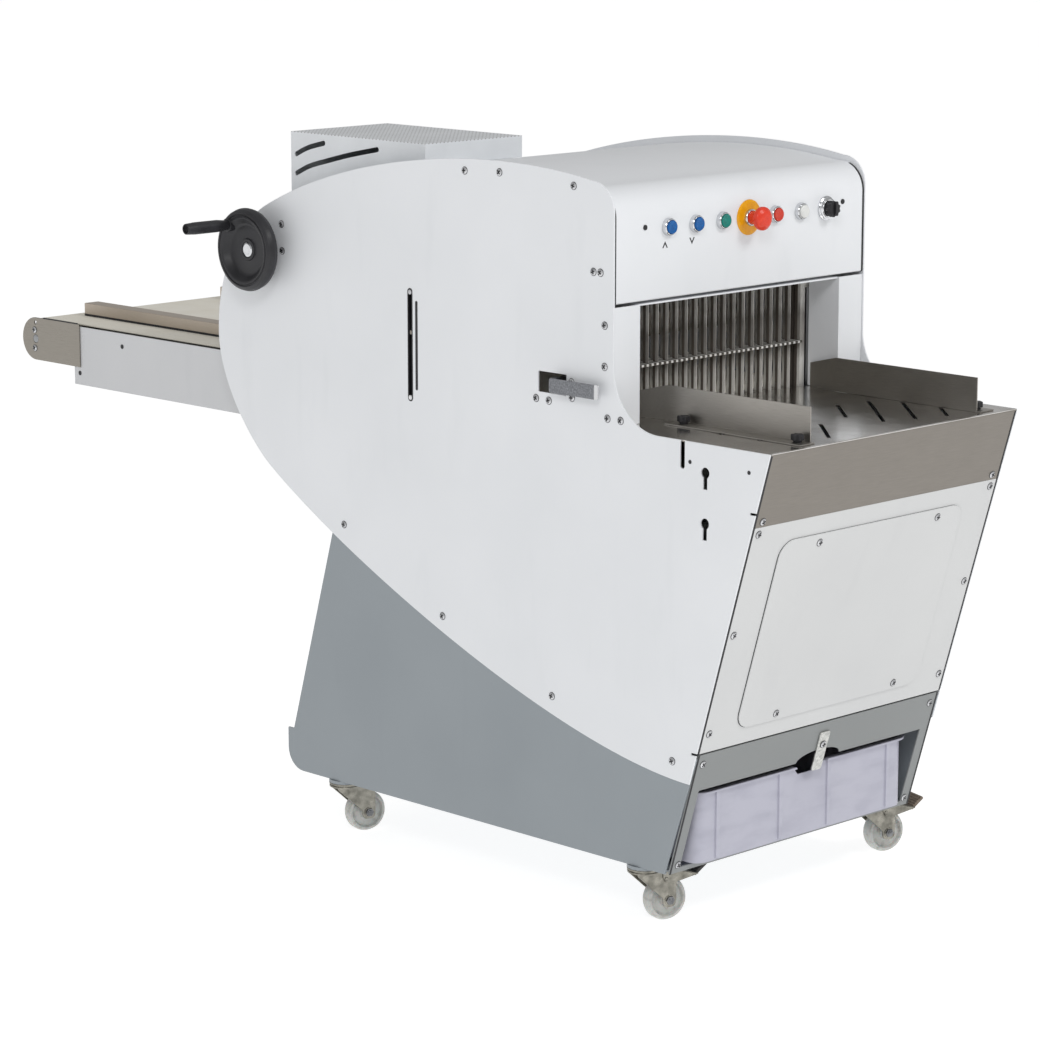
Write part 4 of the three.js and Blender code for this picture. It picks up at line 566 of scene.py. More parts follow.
caster_zinc = zinc_plate("caster_zinc", ("a5a298", "74726a"), 0.26)
nylon = nylon_white()
nut_zinc = zinc_plate("nut_zinc", ("8b8c8e", "4e4f52"), 0.2)
tread_finishes = {
    "front_left": brake_rubber("dark_tread", ("2b2a2a", "4b4845")),
    "front_right": brake_rubber("brown_tread", ("6f6154", "8a7d70")),
}
for name, x, y in (
    ("front_left", -caster_x, front_caster_y), ("front_right", caster_x, front_caster_y),
    ("rear_left", -caster_x, rear_caster_y), ("rear_right", caster_x, rear_caster_y),
):
    braked = name in tread_finishes
    stand = moved(machine_place, x, y) @ Matrix.Rotation(caster_turn, 4, "Z")
    steel, nuts = fork_shapes(stand, braked)
    fit(piece(name + "_fork_steel", *steel), name + "_caster", "zinc", caster_zinc, name + "_fork")
    fit(piece(name + "_axle_nuts", *nuts), name + "_caster", "zinc", nut_zinc)
    wheel = piece(name + "_nylon_wheel", wheel_shape(stand))
    fit(wheel, name + "_roller", "white_nylon", nylon, name + "_wheel")
    if braked:
        channel, tread = pedal_shapes(stand)
        fit(piece(name + "_pedal_steel", *channel), name + "_brake", "zinc", caster_zinc, name + "_pedal")
        fit(piece(name + "_pedal_tread", tread), name + "_brake", "black_plastic", tread_finishes[name])

# The side panels are laser cut from white powder-coated steel. Both carry keyholes for hanging the bag
# holder and small reliefs where the front's folds end; the left one also has the height gauge's slots,
# the lever's slot and the handwheel's shaft hole.
face_y = 61
brow_z = 1240
brow_radius = 50
mouth_radius = 100
shoulder = (930, 1136)
back = (1066, 896)
crown_shares = ((0.302, -0.404), (0.727, -0.048))
shoulder_shares = ((0.544, 0.15), (1, 0.54))
back_shares = ((0, 0.407), (0.62, 0.84))
relief_length = 12
relief_height = 4
relief_zs = (737, 321)
gauge_slot_y = 549
gauge_slot_width = 9
gauge_slot_z = (827, 1021)
scale_slot_y = 533
scale_slot_width = 4
scale_slot_z = (847, 1001)
lever_slot_y = (169, 235)
lever_slot_z = (879, 914)
hang_slot_y = -94
hang_slot_width = 10
hang_slot_depth = 46
keyhole_y = -144
keyhole_zs = (790, 707)
keyhole_radius = 9
keyhole_tail_width = 9
keyhole_tail_length = 27
handwheel_y = 930
handwheel_z = 1060
shaft_radius = 8
screw_radius = 6
screw_height = 2.6
screw_spin = 0.7
cross_shade_sink = 0.1
cross_shade_sheet = 0.5
foot_shade_width = 0.9
foot_shade_sheet = 0.4
thin_edge = 0.05
screw_smooth_degrees = 40
inside_panel_x = panel_outer_x - panel_sheet
bracket_sheet = 3
bracket_y = (173, 201)
bracket_top_z = 883.7
bracket_drop = 34
bracket_inner_x = -287
lever_pin_at = (-296, 187)
lever_pin_radius = 4
lever_pin_top_z = 908

brow_end = (face_y + brow_radius, brow_z)
crown_line = swept(brow_end, shoulder, crown_shares, 40)
shoulder_line = swept(shoulder, back, shoulder_shares, 28)
back_line = swept(back, heel, back_shares, 28)


def relief(z):
    """The corners of a small cut in the leaning front edge"""
    low = z - relief_height / 2
    high = z + relief_height / 2
    inner = front_plane_y(z) + relief_length
    return [(front_plane_y(low), low), (inner, low, 1), (inner, high, 1), (front_plane_y(high), high)]


def panel_outline():
    slot = hang_slot_width / 2
    start = drawn([
        foot, *relief(relief_zs[1]), *relief(relief_zs[0]), (lip_y, lip_z, 2),
        (hang_slot_y - slot, lip_z, 1), (hang_slot_y - slot, lip_z - hang_slot_depth, slot * 0.9),
        (hang_slot_y + slot, lip_z - hang_slot_depth, slot * 0.9), (hang_slot_y + slot, lip_z, 1),
        (face_y, lip_z, mouth_radius), (face_y, brow_z, brow_radius), brow_end,
    ], 16)
    return start[:-1] + crown_line[1:] + shoulder_line[1:] + back_line[1:] + belly_line[1:-1]


def keyhole(z):
    half = keyhole_tail_width / 2
    root = math.asin(half / keyhole_radius)
    head = arc(keyhole_y, z, keyhole_radius, root - math.pi / 2, 1.5 * math.pi - root, 24)
    return head + [(keyhole_y - half, z - keyhole_tail_length), (keyhole_y + half, z - keyhole_tail_length)]


def left_openings():
    half_gauge = gauge_slot_width / 2
    half_scale = scale_slot_width / 2
    return [
        box_outline(gauge_slot_y - half_gauge, gauge_slot_y + half_gauge, *gauge_slot_z, half_gauge * 0.98),
        box_outline(scale_slot_y - half_scale, scale_slot_y + half_scale, *scale_slot_z, half_scale * 0.98),
        box_outline(*lever_slot_y, *lever_slot_z, 1.5),
        round_hole(handwheel_y, handwheel_z, shaft_radius + gap, 32),
    ]


def carved(shape, *cutters):
    """A shape with cutters taken out of it"""
    holders = [in_scene("shape", mesh) for mesh in (shape, *cutters)]
    for holder in holders[1:]:
        cut = holders[0].modifiers.new("cut", "BOOLEAN")
        cut.operation = "DIFFERENCE"
        cut.solver = "EXACT"
        cut.object = holder
    evaluated = holders[0].evaluated_get(bpy.context.evaluated_depsgraph_get())
    result = bpy.data.meshes.new_from_object(evaluated)
    for holder in holders:
        mesh = holder.data
        bpy.data.objects.remove(holder)
        bpy.data.meshes.remove(mesh)
    return closed_shape(gathered([result]))


def cross_outline():
    arm = screw_radius * 0.68
    half = screw_radius * 0.2
    return drawn([
        (-arm, -half), (-half, -half), (-half, -arm), (half, -arm), (half, -half), (arm, -half),
        (arm, half), (half, half), (half, arm), (-half, arm), (-half, half), (-arm, half),
    ])


def screw_head():
    """A pan head standing on its drawing's origin"""
    return turned([(0, 0), (screw_radius, 0), (screw_radius, screw_height * 0.3),
                   (screw_radius * 0.72, screw_height * 0.86), (0, screw_height)], Matrix.Identity(4), 20)


def screw_painted_shade():
    """Painted shade: a dark cross sheet for the shade in a head's cross recess, and a dark ring round its
    foot for the shade where it meets the sheet
    """
    base = Matrix.Identity(4)
    cross_place = moved(base, z=screw_height - cross_shade_sink)
    cross = cut_sheet([cross_outline()], cross_shade_sheet, cross_place, thin_edge)
    foot_shade = round_hole(0, 0, screw_radius + foot_shade_width, 20)
    rim = cut_sheet([foot_shade], foot_shade_sheet, moved(base, z=foot_shade_sheet / 2), thin_edge)
    return closed_shape(gathered([cross, rim]))


def standing(at, towards):
    """A place in the machine for something that stands out in one direction"""
    turn = Vector((0, 0, 1)).rotation_difference(Vector(towards)).to_matrix().to_4x4()
    return moved(machine_place, *at) @ turn


def repeated(pattern, places, towards):
    """Copies of a pattern on the given places, each a point in millimetres, facing one way"""
    heads = [pattern.copy() for place in places]
    for index, (head, place) in enumerate(zip(heads, places)):
        head.transform(standing(place, towards) @ Matrix.Rotation(index * screw_spin, 4, "Z"))
    return closed_shape(gathered(heads))


def fasten(name, places, towards):
    """A row of screws on the machine, with dark sheets of painted shade in each head's cross recess and
    round each foot
    """
    smooth = screw_smooth_degrees
    for suffix, pattern, slot, finish in (
        ("", screw_pattern, "zinc", screw_zinc),
        ("_painted_shade", shade_pattern, "black_plastic", black_plastic),
    ):
        fit(piece(name + suffix, repeated(pattern, places, towards), sharp=smooth), "machine", slot, finish)


def grained_plastic(name, colours, gloss=0.5, grain_size=0.9):
    """Moulded plastic with a fine grain, slightly shinier where hands touch it"""
    return mottled(name, {"Metallic": 0, "IOR": 1.46}, colours, (24, 4), (grain_size, 2), (0.35, 0.75),
                   (gloss - 0.08, gloss + 0.08), (0.08, 0.5), 0.06)


def black_part(name, *shapes):
    fit(piece(name, *shapes), "machine", "black_plastic", black_plastic)


def white_part(name, node, *shapes):
    fit(piece(name, *shapes), "machine", "white_paint", white_paint, node)


def lever_bracket():
    """The shelf and pin that the lever turns on, fixed inside the left panel"""
    half = bracket_sheet / 2
    middle_z = bracket_top_z - half
    flange = box_outline(*bracket_y, lever_slot_z[0] - bracket_drop, bracket_top_z, sheet_corner)
    pin_place = moved(machine_place, *lever_pin_at)
    shelf = box_outline(-inside_panel_x, bracket_inner_x, *bracket_y, sheet_corner)
    return [
        cut_sheet([flange], bracket_sheet, facing_x(half - inside_panel_x)),
        cut_sheet([shelf], bracket_sheet, moved(machine_place, z=middle_z)),
        rod(lever_pin_radius, middle_z, lever_pin_top_z, pin_place, corner=plain_edge),
    ]


white_paint = powder_coat("white_paint", "e9ebee", "dcdfe2", 0.4)
screw_zinc = zinc_plate("screw_zinc", ("e0e1e3", "b3b4b7"), 0.26)
screw_pattern = screw_head()
# Painted shade for every screw: its dark cross and the dark ring round its foot
shade_pattern = screw_painted_shade()
black_plastic = grained_plastic("black_plastic", ("1d1d20", "2b2b2f"))
panel_middle_x = panel_outer_x - panel_sheet / 2
panel_loops = [panel_outline(), *[keyhole(z) for z in keyhole_zs]]
left_sheet = cut_sheet([*panel_loops, *left_openings()], panel_sheet, facing_x(-panel_middle_x))
right_sheet = cut_sheet(panel_loops, panel_sheet, facing_x(panel_middle_x))
white_part("left_side_sheet", "left_side_panel", left_sheet, *lever_bracket())
white_part("right_side_sheet", "right_side_panel", right_sheet)

shared_screw_places = (
    (411, 1235), (327, 1238), (886, 1106), (885, 1058), (153, 1228), (107, 1091), (91, 1091), (81, 1005),
    (81, 937), (74, 852), (44, 852), (726, 582), (471, 456), (202, 361), (-77, 301),
)
left_screw_places = ((240, 867), (210, 866), (157, 903), (156, 877))
for side, name in ((-1, "left"), (1, "right")):
    rows = shared_screw_places + (left_screw_places if side < 0 else ())
    fasten(name + "_side_screws", [(side * panel_outer_x, y, z) for y, z in rows], (side, 0, 0))

# A black plastic guard stands inside the left panel behind the height gauge, slotted for its pin, with
# two steel studs through the panel's slot. Black edging clips round the slot, a dark strip lies over the
# thin slot beside it as painted shade for its dark inside, and small black plugs close two holes beside
# the mouth.
guard_x = 306
guard_sheet = 1.5
guard_y = (514, 586)
guard_margin = 22
guard_slot = (545, 553)
stud_radius = 4.2
plug_radius = 3.4
slot_lip = 1.7
slot_lining = 0.4
lip_height = 0.6
shade_sheet_edge = 0.1
plug_places = ((-111, 804), (-238, 803))
peg_tail = 0.5
plug_height = 0.7
guard_corner = 4
guard_foot_radius = 4
guard_foot_inset = 8
guard_foot_rise = 12
slot_end_inset = 5
guard_slot_inset = 2


def pegs(places, radius, high, towards):
    """Round pegs on the given places, each a point in millimetres, up to one height"""
    return [rod(radius, -peg_tail, high, standing(place, towards), 28, fine_edge) for place in places]


gauge_low, gauge_high = gauge_slot_z
leftwards = (-1, 0, 0)
guard_outline = box_outline(*guard_y, gauge_low - guard_margin, gauge_high + guard_margin, guard_corner)
guard_opening = box_outline(*guard_slot, gauge_low + guard_slot_inset, gauge_high - guard_slot_inset, 2)
guard = cut_sheet([guard_outline, guard_opening], guard_sheet, facing_x(guard_sheet / 2 - guard_x))
foot_places = [(-guard_x, guard_y[0] + guard_foot_inset, z)
               for z in (gauge_low - guard_foot_rise, gauge_high + guard_foot_rise)]
foot_height = inside_panel_x - guard_x + peg_tail
black_part("gauge_guard", guard, *pegs(foot_places, guard_foot_radius, foot_height, leftwards))
stud_places = [(-guard_x, gauge_slot_y, z)
               for z in (gauge_low + slot_end_inset, gauge_high - slot_end_inset)]
studs = pegs(stud_places, stud_radius, panel_outer_x - guard_x + 1, leftwards)
fit(piece("gauge_studs", *studs), "machine", "zinc", screw_zinc)
plug_points = [(-panel_outer_x, y, z) for y, z in plug_places]
black_part("panel_plugs", *pegs(plug_points, plug_radius, plug_height, leftwards))


def slot_frame(y, width, low_and_high, spread):
    """A slot's outline, moved outwards all round"""
    half = width / 2 + spread
    low, high = low_and_high
    return box_outline(y - half, y + half, low - spread, high + spread, half * 0.98)


edging_loops = [slot_frame(gauge_slot_y, gauge_slot_width, gauge_slot_z, spread)
                for spread in (slot_lip, -slot_lining)]
edging_and_gap_shade = cut_sheet(edging_loops, panel_sheet + 2 * lip_height, facing_x(-panel_middle_x), small_edge)
# Painted shade: a dark strip over the thin scale slot, standing for the shade inside it
strip = cut_sheet([slot_frame(scale_slot_y, scale_slot_width, scale_slot_z, slot_lip / 2)], lip_height,
                  facing_x(-panel_outer_x - lip_height / 4), shade_sheet_edge)
black_part("slot_edging_and_painted_shade", edging_and_gap_shade, strip)

# Bearing frame, blade frames, connecting rods, eccentric shaft and motor sit inside the panels. They
# are plain machined steel with an oil film, the blades with a painted highlight along each row and
# painted shade above the comb; the motor is painted cast metal.


def brushed(name, light, dark, along, gloss):
    """Brushed or ground metal: fine lines along one axis, with soft smudges"""
    metal = Finish(name, {"Metallic": 1})
    lines = metal.noise(0.5, 4, tuple(0.02 if axis == along else 1 for axis in "xyz"))
    smudges = metal.noise(60, 4)
    metal.colour(metal.blend(metal.between(lines, 0.25, 0.75) * 0.6 + smudges * 0.4, dark, light))
    shine = metal.between(lines, 0.2, 0.8, gloss - 0.07, gloss + 0.07)
    metal.rough(shine + metal.between(smudges, 0.4, 0.8) * 0.1)
    metal.raise_by(lines, 0.02, 0.3)
    return metal


def motor_coat():
    """Cast motor housing under dark blue-grey paint, with a sandy texture"""
    return mottled("motor_paint", {"Metallic": 0.1}, ("48525b", "59636c"), (2.2, 4), (2.2, 4), (0, 1),
                   (0.42, 0.6), (0.12, 0.5))


blade_edge_highlight_ys = ((139, 145), (163, 170))
comb_z = 915
painted_light_z = 985
comb_shade_above = 50
comb_shade_below = 40
blade_pitch = 12


def blade_metal():
    """Dull oily steel; along the outer edge of each row a ground edge with a painted highlight, in soft
    bands of painted light and shade that dim just above the comb
    """
    blade = Finish("blade_steel", {"Metallic": 0.3})
    depth = blade.along("Y")
    height = blade.along("Z")
    lines = blade.noise(0.5, 4, (1, 1, 0.02))
    rows = [[machine_origin.y + y * mm for y in row] for row in blade_edge_highlight_ys]
    # Painted highlight: a bright band on each row's ground edge, standing also for the light it catches
    ground = sum(blade.between(depth, start - mm, start) * blade.between(depth, end, end + 0.5 * mm, 1, 0)
                 for start, end in rows)
    # Painted light and shade: the band is full above painted_light_z and below the comb, and dims to 0.4
    # just above the comb
    upper = blade.between(height, (comb_z + comb_shade_above) * mm, painted_light_z * mm, 0.4, 1)
    lower = blade.between(height, (comb_z - comb_shade_below) * mm, comb_z * mm, 1, 0)
    film = blade.between(blade.noise(22), 0.3, 0.7, 0.7, 1)
    dull = blade.blend(lines, "79716a", "5f5851")
    blade.colour(blade.blend(ground * film * (upper + lower), dull, "fbf9f4"))
    blade.rough(blade.between(lines, 0.2, 0.8, 0.36, 0.5))
    blade.raise_by(lines, 0.02, 0.3)
    return blade


machined = brushed("machined_steel", "a9abad", "85878a", "z", 0.3)
coat(machined, "cutter_frame", "eccentric_shaft", "front_con_rod", "rear_con_rod")
coat(blade_metal(), "front_blade_frame", "rear_blade_frame")
coat(motor_coat(), "main_motor")

# The feed conveyor hangs between the panels and reaches out behind: a white painted frame, a cream
# woven belt on two steel rollers, brushed end plates, and two folded rails above the belt.
roller_z = 809
roller_radius = 36
belt_thickness = 3
belt_half_width = 236
drive_roller_y = 227
tail_roller_y = 1699
roller_half_width = 239
roller_shaft_radius = 8
conveyor_half_width = 255
conveyor_low_z = 732
end_plate_front_y = 1559
end_plate_radius = 42
end_plate_sheet = 3
end_hole_rise = 32
end_hole_radius = 4
rail_width = 34
rail_arm_rear_y = 722
gap_shade_sheet = 1
gap_shade_edge = 0.3
gap_shade_height = 4
gap_shade_lift = 0.2
conveyor_plug_places = ((1429, 821), (1563, 755))
conveyor_plug_radius = 4.5
conveyor_plug_height = 0.8
plate_screw_places = ((1702, 826), (1702, 790))
plate_gap_shade_y = (1566, 1674)
plate_gap_shade_height = 1.8
plate_gap_shade_sink = 0.4


def half_turn(y, radius, start):
    return arc(y, roller_z, radius, start, start + math.pi)


def belt_loop(radius):
    """The loop round both rollers, as a half circle at each end"""
    return half_turn(tail_roller_y, radius, -math.pi / 2) + half_turn(drive_roller_y, radius, math.pi / 2)


def canvas():
    """Cream cotton belt: a plain weave, floury and slightly stained"""
    cloth = Finish("belt_canvas", {"Metallic": 0, "Sheen Weight": 0.2})
    weft, warp = [
        cloth.node("ShaderNodeTexWave", {"bands_direction": way}, {"Vector": cloth.spot(), "Scale": 130})
        for way in "XY"
    ]
    weave = weft * 0.5 + warp * 0.5
    stains = cloth.between(cloth.noise(90, 5), 0.4, 0.8)
    cloth.colour(cloth.blend(stains * 0.5 + weave * 0.2, "f6f2e6", "e6dfcc"))
    cloth.rough(cloth.between(weave, 0, 1, 0.75, 0.9))
    cloth.raise_by(weave, 0.25, 0.5)
    return cloth


def roller_shape(y, reach):
    half = roller_half_width
    shaft = roller_shaft_radius
    return turned([
        (0, -reach), (shaft, -reach), (shaft, -half), (roller_radius, -half),
        (roller_radius, half), (shaft, half), (shaft, reach), (0, reach),
    ], lay((0, 1, 0), (0, 0, 1), (1, 0, 0), (0, y, roller_z)), 64, soft_edge)


def end_plate_loops():
    """An end plate's outline, round at the tail, with its two holes"""
    low, high = roller_z - end_plate_radius, roller_z + end_plate_radius
    nose = half_turn(tail_roller_y, end_plate_radius, -math.pi / 2)
    return [
        [(end_plate_front_y, low), *nose, (end_plate_front_y, high)],
        round_hole(tail_roller_y, roller_z, roller_shaft_radius + gap, 32),
        round_hole(tail_roller_y, roller_z + end_hole_rise, end_hole_radius),
    ]


def rail_arm_gap_shade(node, side):
    """A dark strip along a rail's foot, outside it, from its arm on: painted shade for the gap between rail
    and belt
    """
    low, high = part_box(node)
    near_x = ((low if side > 0 else high).x - machine_origin.x) / mm
    outer_x = near_x + side * (rail_width + gap_shade_sheet / 2)
    ends = (rail_arm_rear_y, (high.y - machine_origin.y) / mm - 1)
    outline = box_outline(*ends, low.z / mm + gap_shade_lift, low.z / mm + gap_shade_height)
    return cut_sheet([outline], gap_shade_sheet, facing_x(outer_x), gap_shade_edge)


stainless_y = brushed("stainless_along_y", "a39e95", "86817a", "y", 0.3)
stainless_x = brushed("stainless_along_x", "a39e95", "86817a", "x", 0.28)
rail_steel = brushed("rail_steel", "cfc4b8", "b8ad9f", "y", 0.4)
guide_steel = brushed("guide_steel", "bfbbb5", "98948e", "y", 0.38)
# Painted shade: the conveyor frame gets the white paint toned darker than the side panels' white
conveyor_shaded_paint = powder_coat("conveyor_shaded_paint", "cfd0d2", "c2c4c7", 0.4)
belt_shape = cut_sheet([belt_loop(roller_radius + belt_thickness), belt_loop(roller_radius + gap)],
                       2 * belt_half_width, facing_x(0), frame_edge)
fit(piece("canvas_belt", belt_shape), "machine", "belt_canvas", canvas(), "feed_belt")
plate_face_x = conveyor_half_width + gap + end_plate_sheet
for node, body, y, reach in (
    ("drive_roller", "front_roller", drive_roller_y, conveyor_half_width),
    ("tail_roller", "rear_roller", tail_roller_y, plate_face_x),
):
    fit(piece(node + "_steel", roller_shape(y, reach)), body, "machined_steel", machined, node)
fit_copy("conveyor_frame_sheet", "conveyor_frame", frame_edge, "machine", "white_paint", conveyor_shaded_paint)
# Painted shade: dark strips along each rail's foot and on top of each end plate stand for the shaded gaps
# beside the belt
edging_and_gap_shade = []
plate_gap_shade = box_outline(*plate_gap_shade_y, roller_z + end_plate_radius - plate_gap_shade_sink,
                           roller_z + end_plate_radius + plate_gap_shade_height)
for side, name in ((-1, "left"), (1, "right")):
    plate_place = facing_x(side * (plate_face_x - end_plate_sheet / 2))
    plate = piece(name + "_end_plate_sheet", cut_sheet(end_plate_loops(), end_plate_sheet, plate_place))
    fit(plate, "machine", "stainless", stainless_y, name + "_end_plate")
    rail = name + "_bread_rail"
    fit_copy(rail + "_sheet", rail, soft_edge, "machine", "stainless", rail_steel)
    edging_and_gap_shade.append(rail_arm_gap_shade(rail, side))
    edging_and_gap_shade.append(cut_sheet([plate_gap_shade], end_plate_sheet, plate_place, gap_shade_edge))
    plate_screws = [(side * plate_face_x, y, z) for y, z in plate_screw_places]
    fasten(name + "_plate_screws", plate_screws, (side, 0, 0))
black_part("rail_gap_shades", *edging_and_gap_shade)
plug_points = [(-conveyor_half_width, y, z) for y, z in conveyor_plug_places]
black_part("conveyor_plugs", *pegs(plug_points, conveyor_plug_radius, conveyor_plug_height, leftwards))

# The hold-down is a stainless box that a trapezoidal screw lifts; its comb steadies the blades, and
# its gauge pin shows in the slot of the left panel.


def comb_metal():
    """Bright ground comb, with painted shade: a dark band where each blade runs through it"""
    comb = Finish("comb_steel", {"Metallic": 0.5})
    across = comb.along("X")
    wave = comb.node("ShaderNodeMath", {"operation": "PINGPONG"}, {0: across, 1: blade_pitch / 2 * mm})
    # Painted shade: the dark band round each blade's slot
    bright = comb.between(wave, blade_pitch * 0.24 * mm, blade_pitch * 0.3 * mm)
    wear = comb.noise(5, 4)
    comb.colour(comb.blend(bright, "54504a", comb.blend(wear, "fbfaf6", "e4e2dd")))
    comb.rough(comb.between(wear, 0.3, 0.7, 0.3, 0.42))
    comb.raise_by(wear, 0.02, 0.3)
    return comb


coat(stainless_x, "press_unit")
coat(comb_metal(), "blade_comb")
coat(machined, "lift_screw")

# Hood, roof, belly and top box are bent from white powder-coated sheet and stand a little inside the
# panels' outline. The hood's face has seven holes for the controls.
hood_inset = 12
hood_face_y = 63
hood_sill_z = 1040
hood_return = 62
hood_roof_rise = 4
hood_roof_lead = 12
hood_rear_y = 500
shade_band_width = 4
shade_band_height = 0.5
shade_band_end_y = 96
hood_screw_radius = 4.4
hood_screw_places = ((-240, 1161), (255, 1166))
roof_end_z = 1004
belly_inset = 4
rear_wall_top_z = 548
cover_sheet = 3
inside_x = inside_panel_x - gap
inside_base_x = base_middle_x - base_sheet / 2 - gap
control_z = sum(corner.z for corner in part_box("up_button")) / 2 / mm
control_nodes = (
    "up_button", "down_button", "start_button", "emergency_button",
    "stop_button", "reset_button", "selector_knob",
)
control_xs = [(sum(corner.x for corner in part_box(node)) / 2 - machine_origin.x) / mm
              for node in control_nodes]
bezel_hole_radius = 11.5
flange_radius = 28
flange_bottom_z = 1215.3
screw_y = 445
vent_pitch = 9
flange_height = 12
hood_screw_height = 1.6
hole_reach = 9


def beside(line, distance):
    """A line moved sideways by a distance, to the left of its direction"""
    offset = []
    for index, point in enumerate(line):
        before = Vector(line[max(index - 1, 0)])
        after = Vector(line[min(index + 1, len(line) - 1)])
        along = (after - before).normalized()
        offset.append((point[0] - along.y * distance, point[1] + along.x * distance))
    return offset


def thickened(line, thickness):
    return [*line, *reversed(beside(line, thickness))]


roof_line = beside(crown_line, -hood_inset)


def hood_line():
    brow_top = brow_z - hood_inset
    start = drawn([
        (hood_face_y + hood_return, hood_sill_z), (hood_face_y, hood_sill_z, cover_sheet),
        (hood_face_y, brow_top, brow_radius), (hood_face_y + 2 * brow_radius, brow_top + hood_roof_rise),
    ], 20)[:-1]
    roof = [point for point in roof_line if start[-1][0] + hood_roof_lead < point[0] < hood_rear_y]
    return [*start, *roof, point_at(roof_line, hood_rear_y)]


def point_at(line, y):
    """The point of a line at a given Y"""
    for first, second in zip(line, line[1:]):
        if first[0] <= y <= second[0]:
            share = (y - first[0]) / (second[0] - first[0])
            return (y, first[1] + share * (second[1] - first[1]))
    return line[-1]


def bent_cover(line, half_width):
    return cut_sheet([thickened(line, -cover_sheet)], 2 * half_width, facing_x(0))


def towards_front(x, z, y=hood_face_y):
    """A drawing on the hood's face, seen from the front"""
    return facing_front(x, y, z)


def vented_coat(box_top):
    """White powder coating; rows of small air holes through the box's top are painted dark, as painted shade
    inside them
    """
    lid = Finish("vented_paint", {"Metallic": 0, "IOR": 1.5})
    pitch = vent_pitch * mm
    holes = lid.between(lid.along("Z"), box_top - mm, box_top - 0.5 * mm)
    for axis in "XY":
        wave = lid.node("ShaderNodeMath", {"operation": "PINGPONG"}, {0: lid.along(axis), 1: pitch / 2})
        holes = holes * lid.between(wave, pitch * 0.11, pitch * 0.19, 1, 0)
    clouds = lid.between(lid.noise(90, 4), 0.3, 0.7)
    # Painted shade: the air holes are dark spots on the paint
    lid.colour(lid.blend(holes, lid.blend(clouds, "e3e6e9", "d9dcdf"), "6d6963"))
    lid.rough(lid.between(clouds, 0, 1, 0.36, 0.46))
    lid.raise_by(lid.noise(2.6, 2), 0.05, 0.35)
    return lid


hood_holes = [rod(bezel_hole_radius, -hole_reach, hole_reach, towards_front(x, control_z), 48)
              for x in control_xs]
hood = carved(bent_cover(hood_line(), inside_x), *hood_holes)
flange_place = moved(machine_place, y=screw_y, z=flange_bottom_z)
flange = rod(flange_radius, 0, flange_height, flange_place, 48, plain_edge)
white_part("hood_sheet", "control_hood", hood, flange)
rear_line = [point_at(roof_line, hood_rear_y + gap)]
rear_line += [point for point in roof_line if point[0] > hood_rear_y + 1]
rear_line += [point for point in beside(shoulder_line, -hood_inset)[1:] if point[1] > roof_end_z]
white_part("rear_roof_sheet", "rear_cover", bent_cover(rear_line, inside_x))
under_line = [point for point in back_line if point[1] < conveyor_low_z - cover_sheet]
under_line += [point for point in belly_line[1:] if point[1] > rear_wall_top_z + cover_sheet]
white_part("belly_sheet", "belly_cover", bent_cover(beside(under_line, -belly_inset), inside_base_x))
# Painted shade: thin dark bands on the hood's face along both side panels, standing for the shaded gaps
# between them
face_line = [point for point in hood_line() if point[0] < shade_band_end_y][1:]
shade_band_x = inside_x + gap / 2 - shade_band_width / 2
shade_bands = [cut_sheet([thickened(face_line, shade_band_height)], shade_band_width, facing_x(x), shade_sheet_edge)
         for x in (-shade_band_x, shade_band_x)]
black_part("hood_painted_shade_bands", *shade_bands)
screw_points = [(x, hood_face_y, z) for x, z in hood_screw_places]
black_part("hood_screws", *pegs(screw_points, hood_screw_radius, hood_screw_height, (0, -1, 0)))
lid_paint = vented_coat(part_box("top_box")[1].z)
fit_copy("top_box_sheet", "top_box", soft_edge, "machine", "white_paint", lid_paint)

# The mouth is lined with one folded white sheet; below it the stainless tray runs out to the front,
# with slanted crumb slots, a folded apron, two bread guides and the star knobs that clamp them.
knob_radius = 11
knob_lobes = 6
knob_lobe_depth = 2.2
knob_height = 13
knob_lift = 3
knob_edge = 1.2
collar_radius = 7
knob_stud_radius = 3
knob_stud_tail = 18
fit_copy("mouth_lining", "mouth_surround", plain_edge, "machine", "white_paint", white_paint)


def tray_steel():
    """Ground stainless sheet, smoother on top than on the apron, with painted reflection: the top is toned
    lighter and the apron darker
    """
    steel = Finish("tray_steel", {"Metallic": 1})
    lines = steel.noise(0.6, 4, (0.02, 1, 1))
    smudges = steel.noise(55, 4)
    level = steel.between(steel.along("Z"), (lip_z - 1.5) * mm, (lip_z - 0.5) * mm)
    # Painted reflection: the apron's tone is darker and the top's lighter, standing for what each one
    # reflects
    plain = steel.blend(steel.between(lines, 0.25, 0.75), "807b75", "8b867f")
    bright = steel.blend(steel.between(smudges, 0.35, 0.7), "e6e4e1", "cbc8c4")
    steel.colour(steel.blend(level, plain, bright))
    steel.rough(steel.between(level, 0, 1, 0.3, 0.17) + steel.between(smudges, 0.4, 0.8) * 0.1)
    steel.raise_by(lines, 0.008, 0.3)
    return steel


fit_copy("tray_sheet", "outfeed_tray", fine_edge, "machine", "stainless", tray_steel())
for node in ("left_guide", "right_guide"):
    fit_copy(node + "_sheet", node, fine_edge, node + "_body", "stainless", guide_steel)


def lobed(radius, depth, lobes, first, steps):
    """A round rim with lobes, its radius going down by the depth; first is 1 to start in a flute"""
    turns = [index * 2 * math.pi / (steps * lobes) for index in range(steps * lobes)]
    radii = [radius - depth / 2 * (1 + first * math.cos(lobes * turn)) for turn in turns]
    return [(reach * math.cos(turn), reach * math.sin(turn)) for reach, turn in zip(radii, turns)]


